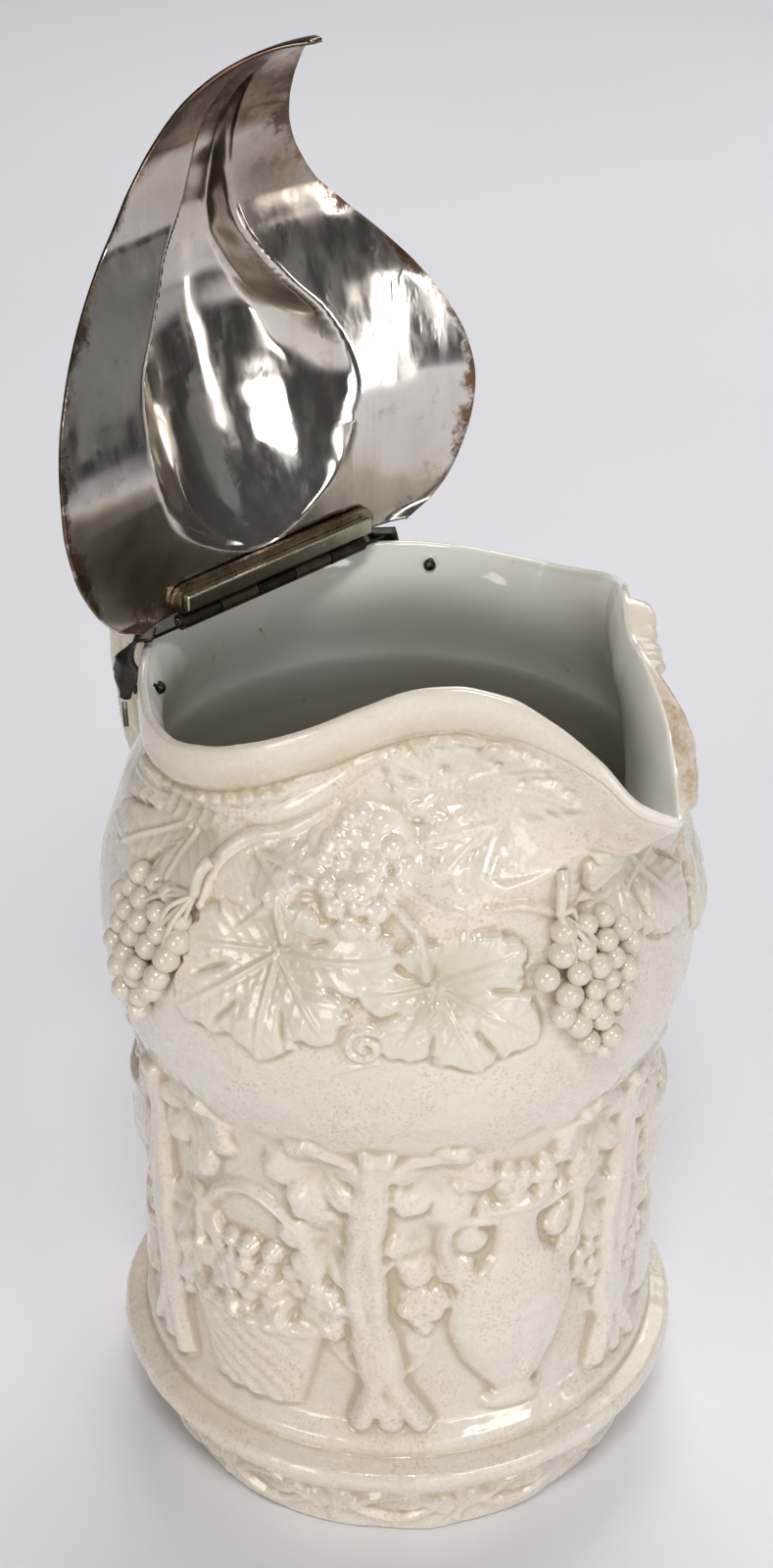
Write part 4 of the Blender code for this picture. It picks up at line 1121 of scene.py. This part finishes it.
def sheet(grid, thick):
    """Closed sheet of a given thickness on one side of a grid, as points and quads."""
    rows, columns = grid.shape[:2]
    skin = grid + grid_normals(grid, False) * thick
    count = rows * columns
    under = grid_quads(rows, columns, False)
    over = under[:, ::-1] + count
    index = np.arange(count).reshape(rows, columns)
    edge = np.concatenate((index[0, :-1], index[:-1, -1], index[-1, :0:-1], index[:0:-1, 0]))
    ahead = np.roll(edge, -1)
    side = np.stack((edge, ahead, ahead + count, edge + count), axis=1)
    points = np.concatenate((grid.reshape(-1, 3), skin.reshape(-1, 3)))
    return points, np.concatenate((under, over, side))


def make_lid(material):
    grid, rim = lid_points()
    points, quads = sheet(grid, -LID_THICK)
    lid = make_mesh("pressed_lid", opened(points), quads)
    paint(lid, "rim", np.clip(np.tile(rim.ravel(), 2) / 20, 0, 1))
    paint(lid, "smoke", np.tile(lid_smoke(grid).ravel(), 2))
    paint(lid, "seam", np.tile(lid_seam(grid).ravel(), 2))
    settle(lid, material, "lid", "lid_shell")


# Straps, rivets and bar of the mount
# Strap: distance from the axis, height and half width down it
STRAP_ANGLE = 140
STRAP_LINE = [
    (52.6, 205.35, 2.6), (54.9, 205.35, 3), (56.4, 204.6, 3.4), (56.8, 200.4, 4.2), (57.5, 195.6, 3.8),
    (58.8, 191.4, 2), (59.6, 189.8, 0.8),
]
STRAP_COLUMNS = 15
STRAP_THICK = 0.7
# The leaf at the strap's end stands off the collar and turns towards the front
STRAP_TURN = 48
STRAP_OFF = 2.2
# Rivet through the collar: distance from the axis and radius
RIVET = [
    (49.6, 0.05), (49.7, 0.6), (50, 1), (50.5, 1.35), (51, 1.45), (51.25, 1.35), (51.3, 0.85), (55.9, 0.85),
    (56, 1.3), (56.4, 1.1), (56.7, 0.6), (56.8, 0.05),
]
RIVET_SIDES = 24
# Bar on the hinge strip: back, front, foot and top of its section, half its length, rounding
BAR_SECTION = (-38.46, -36.5, 209.9, 213.5)
BAR_HALF = 27
BAR_ROUND = 0.45
# Points round its section, how square that is, and rings at each softened end
BAR_SIDES = 48
BAR_SQUARE = 0.25
BAR_END_RINGS = 6


def make_strap(word, side, material):
    run = even_run(STRAP_LINE, 0.4)
    share = np.linspace(-1, 1, STRAP_COLUMNS)[None, :]
    along = np.linspace(0, 1, len(run))[:, None]
    free = smooth((along - 0.3) / 0.3)
    facing = side * (STRAP_ANGLE - STRAP_TURN * free)
    outward = polar(facing, 1.0, 0.0)
    across = np.cross((0, 0, 1), outward)
    teeth = 1 + 0.2 * ((along * 7) % 1 - 0.5) * free
    aside = share * run[:, 2:3] * teeth
    crease = 1.1 * np.abs(share) ** 1.4 * free
    off = STRAP_OFF * free * (1 - 0.7 * smooth((along - 0.75) / 0.25))
    middle = polar(np.array(side * STRAP_ANGLE), run[:, :1] + off, run[:, 1:2])
    grid = middle + aside[:, :, None] * across - crease[:, :, None] * outward
    points, quads = sheet(grid, STRAP_THICK)
    strap = make_mesh("leaf_strap_" + word, points, quads)
    settle(strap, material, "jug", "mount_strap_" + word)


def make_rivet(word, side, material):
    outward = polar(np.array(side * HOLE_ANGLE), 1.0, 0.0)
    across = np.cross((0, 0, 1), outward)
    turn = np.linspace(0, 2 * math.pi, RIVET_SIDES, endpoint=False)[:, None]
    rings = []
    for reach, radius in RIVET:
        centre = outward * reach + (0, 0, HOLE_HEIGHT)
        rings.append(centre + radius * (np.cos(turn) * across + np.sin(turn) * np.array((0, 0, 1))))
    grid = np.stack(rings)
    rivet = make_mesh("collar_rivet_" + word, grid, grid_quads(len(grid), RIVET_SIDES, True))
    settle(rivet, material, "jug", "collar_pin_" + word)


def make_bar(material):
    """Polished bar with softened edges and ends."""
    back, front, foot, top = BAR_SECTION
    half = np.array(((front - back) / 2, (top - foot) / 2))
    middle = np.array(((front + back) / 2, (top + foot) / 2))
    turn = np.linspace(0, 2 * math.pi, BAR_SIDES, endpoint=False)
    round_off = np.stack((np.cos(turn), np.sin(turn)), axis=1)
    corner = np.sign(round_off) * np.abs(round_off) ** BAR_SQUARE
    ends = []
    for inset in np.linspace(1, 0, BAR_END_RINGS):
        shrink = BAR_ROUND * (1 - math.sqrt(1 - (1 - inset) ** 2))
        ends.append((BAR_HALF - BAR_ROUND * inset, shrink))
    grid = []
    for y, shrink in [(-y, shrink) for y, shrink in ends[::-1]] + ends:
        section = middle + corner * (half - shrink)
        grid.append(np.stack((section[:, 0], np.full(BAR_SIDES, y), section[:, 1]), axis=1))
    grid = np.stack(grid)
    count = len(grid) * BAR_SIDES
    hubs = np.array([grid[0].mean(axis=0), grid[-1].mean(axis=0)])
    caps = []
    for k in range(BAR_SIDES):
        ahead = (k + 1) % BAR_SIDES
        caps.append((k, ahead, count))
        caps.append((count - 1 - k, count - 1 - ahead, count + 1))
    points = np.concatenate((grid.reshape(-1, 3), hubs))
    bar = make_mesh("polished_bar", points, grid_quads(len(grid), BAR_SIDES, True), caps)
    settle(bar, material, "lid", "lid_hinge_bar")


# Materials
class Shader:
    """Node tree of a new material, with short ways to add and join nodes."""

    def __init__(self, name):
        self.material = bpy.data.materials.new(name)
        self.material.use_nodes = True
        self.nodes = self.material.node_tree.nodes
        self.links = self.material.node_tree.links
        self.surface = self.nodes["Principled BSDF"]
        self.place = self.nodes.new("ShaderNodeTexCoord").outputs["Object"]

    def set(self, **values):
        for name, value in values.items():
            self.surface.inputs[name.replace("_", " ")].default_value = value

    def feed(self, name, output):
        self.links.new(output, self.surface.inputs[name])

    def noise(self, scale, detail=4.0, rough=0.55, stretch=None):
        node = self.nodes.new("ShaderNodeTexNoise")
        node.inputs["Scale"].default_value = scale
        node.inputs["Detail"].default_value = detail
        node.inputs["Roughness"].default_value = rough
        source = self.place
        if stretch:
            turn = self.nodes.new("ShaderNodeMapping")
            turn.inputs["Scale"].default_value = stretch
            self.links.new(source, turn.inputs["Vector"])
            source = turn.outputs["Vector"]
        self.links.new(source, node.inputs["Vector"])
        return node.outputs["Fac"]

    def attribute(self, name):
        node = self.nodes.new("ShaderNodeAttribute")
        node.attribute_name = name
        return node.outputs["Fac"]

    def ramp(self, source, low, high, start=0.0, end=1.0):
        """Map a range of a value onto another, without going past its ends."""
        node = self.nodes.new("ShaderNodeMapRange")
        node.interpolation_type = "SMOOTHSTEP"
        node.inputs["From Min"].default_value = low
        node.inputs["From Max"].default_value = high
        node.inputs["To Min"].default_value = start
        node.inputs["To Max"].default_value = end
        self.links.new(source, node.inputs["Value"])
        return node.outputs["Result"]

    def math(self, operation, a, b):
        node = self.nodes.new("ShaderNodeMath")
        node.operation = operation
        for socket, value in zip(node.inputs, (a, b)):
            if isinstance(value, (int, float)):
                socket.default_value = value
            else:
                self.links.new(value, socket)
        return node.outputs[0]

    def times(self, a, b):
        return self.math("MULTIPLY", a, b)

    def mix(self, share, a, b):
        """Colour between two, by a share from nodes."""
        node = self.nodes.new("ShaderNodeMix")
        node.data_type = "RGBA"
        self.links.new(share, node.inputs["Factor"])
        for socket, value in ((node.inputs[6], a), (node.inputs[7], b)):
            if isinstance(value, tuple):
                socket.default_value = (*value, 1)
            else:
                self.links.new(value, socket)
        return node.outputs[2]

    def bump(self, source, distance, strength=1.0, before=None):
        node = self.nodes.new("ShaderNodeBump")
        node.inputs["Distance"].default_value = distance
        node.inputs["Strength"].default_value = strength
        self.links.new(source, node.inputs["Height"])
        if before:
            self.links.new(before, node.inputs["Normal"])
        return node.outputs["Normal"]


# Colours of the glaze: ground and its warmer patches, leaves, hollows, pooled glaze with painted shade in
# fine hollows, painted shade in broad hollows, specks, collar band with painted shade under it, and bare
# lip
CREAM = (0.80, 0.75, 0.66)
WARM = (0.80, 0.71, 0.60)
LEAF = (0.73, 0.70, 0.585)
OLIVE = (0.56, 0.50, 0.34)
POOL_AND_SHADE = (0.48, 0.40, 0.25)
SHADE = (0.64, 0.56, 0.44)
SPECK = (0.64, 0.46, 0.31)
BAND = (0.60, 0.50, 0.33)
STAIN = (0.50, 0.36, 0.23)
# Colours inside: glaze, its duller patches, painted shade in the depth, and its specks
INNER_PALE = (0.88, 0.865, 0.81)
INNER_DULL = (0.86, 0.84, 0.775)
INNER_SHADE = (0.25, 0.235, 0.16)
INNER_SPECK = (0.2, 0.17, 0.13)
# Colours of the lid's plate: bright, worn and streaked silver, smoke and its thinner film, tarnish
SILVER = (0.80, 0.75, 0.69)
WORN = (0.66, 0.595, 0.525)
STREAK = (0.46, 0.45, 0.44)
SMOKE = (0.11, 0.066, 0.04)
FILM = (0.25, 0.165, 0.105)
TARNISH_DARK = (0.08, 0.058, 0.04)
TARNISH = (0.27, 0.155, 0.095)
# Other metals: colour, its worn patches, roughness, strength of the grain
METALS = {
    "hinge_silver": ((0.66, 0.64, 0.52), (0.52, 0.49, 0.38), 0.16, 0.1),
    "browned_silver": ((0.42, 0.34, 0.24), (0.20, 0.14, 0.09), 0.24, 0.15),
    "dull_silver": ((0.17, 0.14, 0.10), (0.09, 0.07, 0.05), 0.3, 0.2),
    "blackened_metal": ((0.05, 0.043, 0.036), (0.12, 0.095, 0.07), 0.34, 0.3),
    "pin_steel": ((0.45, 0.43, 0.38), (0.25, 0.22, 0.18), 0.3, 0.5),
}
# Solids that show as they are, by their metal
BARE_SOLIDS = {
    "browned_silver": ["lid_hinge_strip"],
    "dull_silver": ["lid_knuckle_1", "lid_knuckle_2"],
    "blackened_metal": [
        "mount_plate", "mount_knuckle_1", "mount_knuckle_2", "mount_knuckle_3",
        "mount_prong_near", "mount_prong_far",
    ],
    "pin_steel": ["hinge_pin"],
}


def glaze_material(name, carved):
    """Cream glaze: speckled and warm on the ground, greener on leaves, pooled in hollows, with painted
    shade darkening its hollows and the groove under the collar.
    """
    s = Shader(name)
    drift = s.ramp(s.noise(38, 3), 0.35, 0.65)
    colour = s.mix(drift, CREAM, WARM)
    colour = s.mix(s.times(s.attribute("leafy"), 0.6), colour, LEAF)
    # Painted shade: broad hollows of the carving darkened towards SHADE
    deep = s.ramp(s.attribute("broad"), 0.44, 0.24)
    colour = s.mix(s.times(deep, 0.35), colour, SHADE)
    # Pooled glaze and painted shade: fine hollows and the edges of the relief darkened to olive-brown
    pool_and_shade = s.ramp(s.attribute("proud"), 0.47, 0.22)
    colour = s.mix(s.times(pool_and_shade, 0.75), colour, POOL_AND_SHADE)
    specks = s.ramp(s.noise(1250, 2, 0.6), 0.5, 0.68)
    fields = s.ramp(s.noise(70, 3), 0.36, 0.62, 0.15, 0.7)
    plain = s.ramp(s.attribute("leafy"), 0, 1, 1.0, 0.15)
    spotted = s.times(s.times(specks, fields), plain)
    if carved:
        colour = s.mix(s.times(s.attribute("hollow"), 0.55), colour, OLIVE)
        # Collar band: darker glaze on the collar's lower half, with painted shade in the groove under it
        banded = s.times(s.attribute("band"), s.ramp(s.noise(90, 4), 0.3, 0.7, 0.25, 0.7))
        colour = s.mix(banded, colour, BAND)
        spotted = s.times(spotted, s.ramp(s.attribute("ground"), 0, 1, 0.3, 1.0))
    else:
        colour = s.mix(s.ramp(s.noise(120, 3), 0.3, 0.7, 0.12, 0.34), colour, OLIVE)
    colour = s.mix(spotted, colour, SPECK)
    if carved:
        blots = s.ramp(s.noise(260, 5, 0.7), 0.38, 0.66, 0.3, 1.0)
        colour = s.mix(s.times(s.attribute("stain"), blots), colour, STAIN)
    s.feed("Base Color", colour)
    s.feed("Roughness", s.ramp(s.noise(420, 4), 0.35, 0.7, 0.12, 0.34))
    pits = s.bump(s.noise(1500, 3, 0.65), 0.00008, 0.6)
    s.feed("Normal", s.bump(s.noise(330, 4, 0.6), 0.00022, 0.8, pits))
    s.set(Coat_Weight=0.7, Coat_Roughness=0.04, IOR=1.5)
    return s.material


def inner_glaze_material():
    """Grey-white glaze, with painted shade darkening it to olive down inside and in the spout."""
    s = Shader("inner_glaze")
    drift = s.ramp(s.noise(30, 3), 0.3, 0.7)
    colour = s.mix(drift, INNER_PALE, INNER_DULL)
    # Painted shade: darker olive down inside and in the spout, by the deep numbers
    colour = s.mix(s.attribute("deep"), colour, INNER_SHADE)
    specks = s.ramp(s.noise(160, 2, 0.5), 0.74, 0.78)
    s.feed("Base Color", s.mix(s.times(specks, 0.5), colour, INNER_SPECK))
    s.feed("Roughness", s.ramp(s.noise(60, 3), 0.3, 0.7, 0.05, 0.1))
    s.feed("Normal", s.bump(s.noise(90, 3), 0.0006, 0.4))
    s.set(IOR=1.5)
    return s.material


def silver_material():
    """Worn plate: brushed, scratched, smoked at the tip, and brown where tarnish creeps in."""
    s = Shader("worn_silver")
    patches = s.ramp(s.noise(70, 8, 0.72), 0.4, 0.68)
    creep = s.math("SUBTRACT", s.attribute("rim"), s.times(patches, 0.32))
    edge = s.ramp(creep, 0.07, -0.12)
    smoked = s.times(s.attribute("smoke"), s.ramp(s.noise(85, 7, 0.7), 0.36, 0.6, 0.8, 1.0))
    blots = s.times(s.ramp(s.noise(130, 7, 0.72), 0.56, 0.74), 0.5)
    tarnish = s.math("MAXIMUM", s.math("MAXIMUM", edge, blots), s.times(s.attribute("seam"), 0.9))
    bright = s.mix(s.ramp(s.noise(25, 4), 0.3, 0.7), SILVER, WORN)
    streaks = s.ramp(s.noise(330, 4, 0.7, (1.0, 0.8, 0.05)), 0.45, 0.75, 0.0, 0.25)
    bright = s.mix(streaks, bright, STREAK)
    smoke = s.mix(s.ramp(s.noise(120, 6, 0.7), 0.35, 0.65), SMOKE, FILM)
    filmed = s.mix(smoked, bright, smoke)
    dull = s.mix(s.ramp(s.noise(60, 5), 0.35, 0.65), TARNISH_DARK, TARNISH)
    s.feed("Base Color", s.mix(tarnish, filmed, dull))
    brushed = s.noise(260, 5, 0.6, (1.0, 1.0, 0.06))
    wear = s.ramp(brushed, 0.3, 0.7, 0.07, 0.18)
    clouded = s.math("MAXIMUM", tarnish, s.times(smoked, 0.5))
    s.feed("Roughness", s.math("ADD", wear, s.times(clouded, 0.22)))
    scratches = s.ramp(s.noise(420, 2, 0.5, (1.0, 0.5, 0.04)), 0.6, 0.72)
    fine = s.bump(brushed, 0.00002, 0.6)
    s.feed("Normal", s.bump(scratches, 0.00003, 0.5, fine))
    s.set(Metallic=1.0)
    return s.material


def metal_material(name, colour, worn_colour, rough, grain):
    s = Shader(name)
    worn = s.ramp(s.noise(150, 5, 0.6), 0.45, 0.75)
    s.feed("Base Color", s.mix(worn, colour, worn_colour))
    s.feed("Roughness", s.ramp(s.noise(400, 4), 0.3, 0.7, rough, rough + 0.12))
    s.feed("Normal", s.bump(s.noise(600, 3), 0.00002, grain))
    s.set(Metallic=1.0)
    return s.material


def dress_solids(metals):
    """Finish of the hinge parts whose solids show as they are."""
    for metal, nodes in BARE_SOLIDS.items():
        for node in nodes:
            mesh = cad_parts[node].data
            mesh.materials.clear()
            mesh.materials.append(metals[metal])


# Stage, light and camera
# Floor: half its side and how far it lies under the foot in metres, and its two tints
FLOOR_HALF = 4.0
FLOOR_DROP = 0.0002
FLOOR_TINTS = ((0.82, 0.815, 0.855), (0.85, 0.845, 0.88))
# Height in metres that the lamps aim at
AIM = 0.15
# Camera: place in metres, heading and pitch in radians, lens in millimetres on a 36 mm sensor
CAMERA_PLACE = (0.38381, -0.36704, 0.50007)
CAMERA_HEADING = 0.802667
CAMERA_PITCH = 0.558794
CAMERA_LENS = 65.25


def make_floor():
    s = Shader("floor_paper")
    s.feed("Base Color", s.mix(s.ramp(s.noise(3, 2), 0.3, 0.7), *FLOOR_TINTS))
    s.set(Roughness=0.7)
    corners = np.array([(-1, -1, 0), (1, -1, 0), (1, 1, 0), (-1, 1, 0)]) * FLOOR_HALF / MM
    floor = make_mesh("floor", corners, [(0, 1, 2, 3)], smooth_shaded=False)
    floor.location.z = -FLOOR_DROP
    floor.data.materials.append(s.material)


def make_lamp(name, place, size, power, colour):
    lamp = bpy.data.lights.new(name, "AREA")
    lamp.shape = "ELLIPSE"
    lamp.size, lamp.size_y = size
    lamp.energy = power
    lamp.color = colour
    obj = bpy.data.objects.new(name, lamp)
    obj.location = place
    obj.rotation_euler = (Vector((0, 0, AIM)) - Vector(place)).to_track_quat("-Z", "Y").to_euler()
    bpy.context.scene.collection.objects.link(obj)


def lamp_place(heading, rise, distance):
    """Place of a lamp at a heading and a rise in degrees, seen from the jug."""
    a = math.radians(heading)
    e = math.radians(rise)
    flat = distance * math.cos(e)
    return (flat * math.cos(a), flat * math.sin(a), AIM + distance * math.sin(e))


# Softboxes: heading from the spout, rise, distance and size in metres, power, colour
LAMPS = {
    "front_box": (-4, 20, 1.6, (0.9, 0.3), 5.4, (1, 1, 1)),
    "low_box": (-24, 3, 1.6, (1.0, 0.24), 2.0, (1, 0.99, 0.97)),
    "high_box": (-44, 54, 1.6, (0.4, 0.2), 8.4, (1, 1, 1)),
    "left_box": (-78, 8, 1.6, (0.6, 0.7), 6, (1, 0.96, 0.88)),
    "strip_box": (31, 5, 1.6, (0.12, 0.7), 1.4, (1, 1, 1)),
    "grey_card": (46, 16, 1.6, (0.5, 0.6), 0.12, (0.95, 0.97, 1)),
    "right_box": (92, 40, 1.7, (0.9, 0.9), 4, (1, 1, 1)),
    "back_box": (130, 50, 1.7, (1.1, 1.1), 14, (1, 1, 1)),
}
# Room behind them, from below to overhead
ROOM_LOW = (0.055, 0.053, 0.052)
ROOM_HIGH = (0.095, 0.097, 0.10)


def make_light():
    for name, (heading, rise, distance, size, power, colour) in LAMPS.items():
        make_lamp(name, lamp_place(heading, rise, distance), size, power, colour)
    world = bpy.data.worlds.new("studio")
    bpy.context.scene.world = world
    world.use_nodes = True
    nodes = world.node_tree.nodes
    links = world.node_tree.links
    split = nodes.new("ShaderNodeSeparateXYZ")
    links.new(nodes.new("ShaderNodeTexCoord").outputs["Generated"], split.inputs[0])
    blend = nodes.new("ShaderNodeMix")
    blend.data_type = "RGBA"
    links.new(split.outputs["Z"], blend.inputs["Factor"])
    blend.inputs[6].default_value = (*ROOM_LOW, 1)
    blend.inputs[7].default_value = (*ROOM_HIGH, 1)
    links.new(blend.outputs[2], nodes["Background"].inputs["Color"])
    nodes["Background"].inputs["Strength"].default_value = 1.0


def make_camera():
    camera = bpy.data.objects.new("camera", bpy.data.cameras.new("camera"))
    camera.data.sensor_width = 36
    camera.data.lens = CAMERA_LENS
    camera.data.clip_start = 0.01
    heading = Vector((-math.sin(CAMERA_HEADING), math.cos(CAMERA_HEADING), 0))
    ahead = heading * math.cos(CAMERA_PITCH) - Vector((0, 0, math.sin(CAMERA_PITCH)))
    camera.rotation_euler = ahead.to_track_quat("-Z", "Y").to_euler()
    camera.location = CAMERA_PLACE
    bpy.context.scene.collection.objects.link(camera)
    bpy.context.scene.camera = camera


def build():
    glaze = glaze_material("cream_glaze", True)
    sprig_glaze = glaze_material("sprig_glaze", False)
    silver = silver_material()
    metals = {name: metal_material(name, *finish) for name, finish in METALS.items()}
    make_body(glaze, inner_glaze_material())
    for seed, (node, name, angle, height, stalk) in enumerate(SPRIGS):
        make_sprig(node, name, angle, height, stalk, 70 + seed, sprig_glaze)
    make_handle(glaze)
    make_lid(silver)
    for word, side in (("near", -1), ("far", 1)):
        make_strap(word, side, metals["blackened_metal"])
        make_rivet(word, side, metals["blackened_metal"])
    make_bar(metals["hinge_silver"])
    dress_solids(metals)
    make_floor()
    make_light()
    make_camera()
    bpy.context.scene.view_settings.view_transform = "Standard"


build()
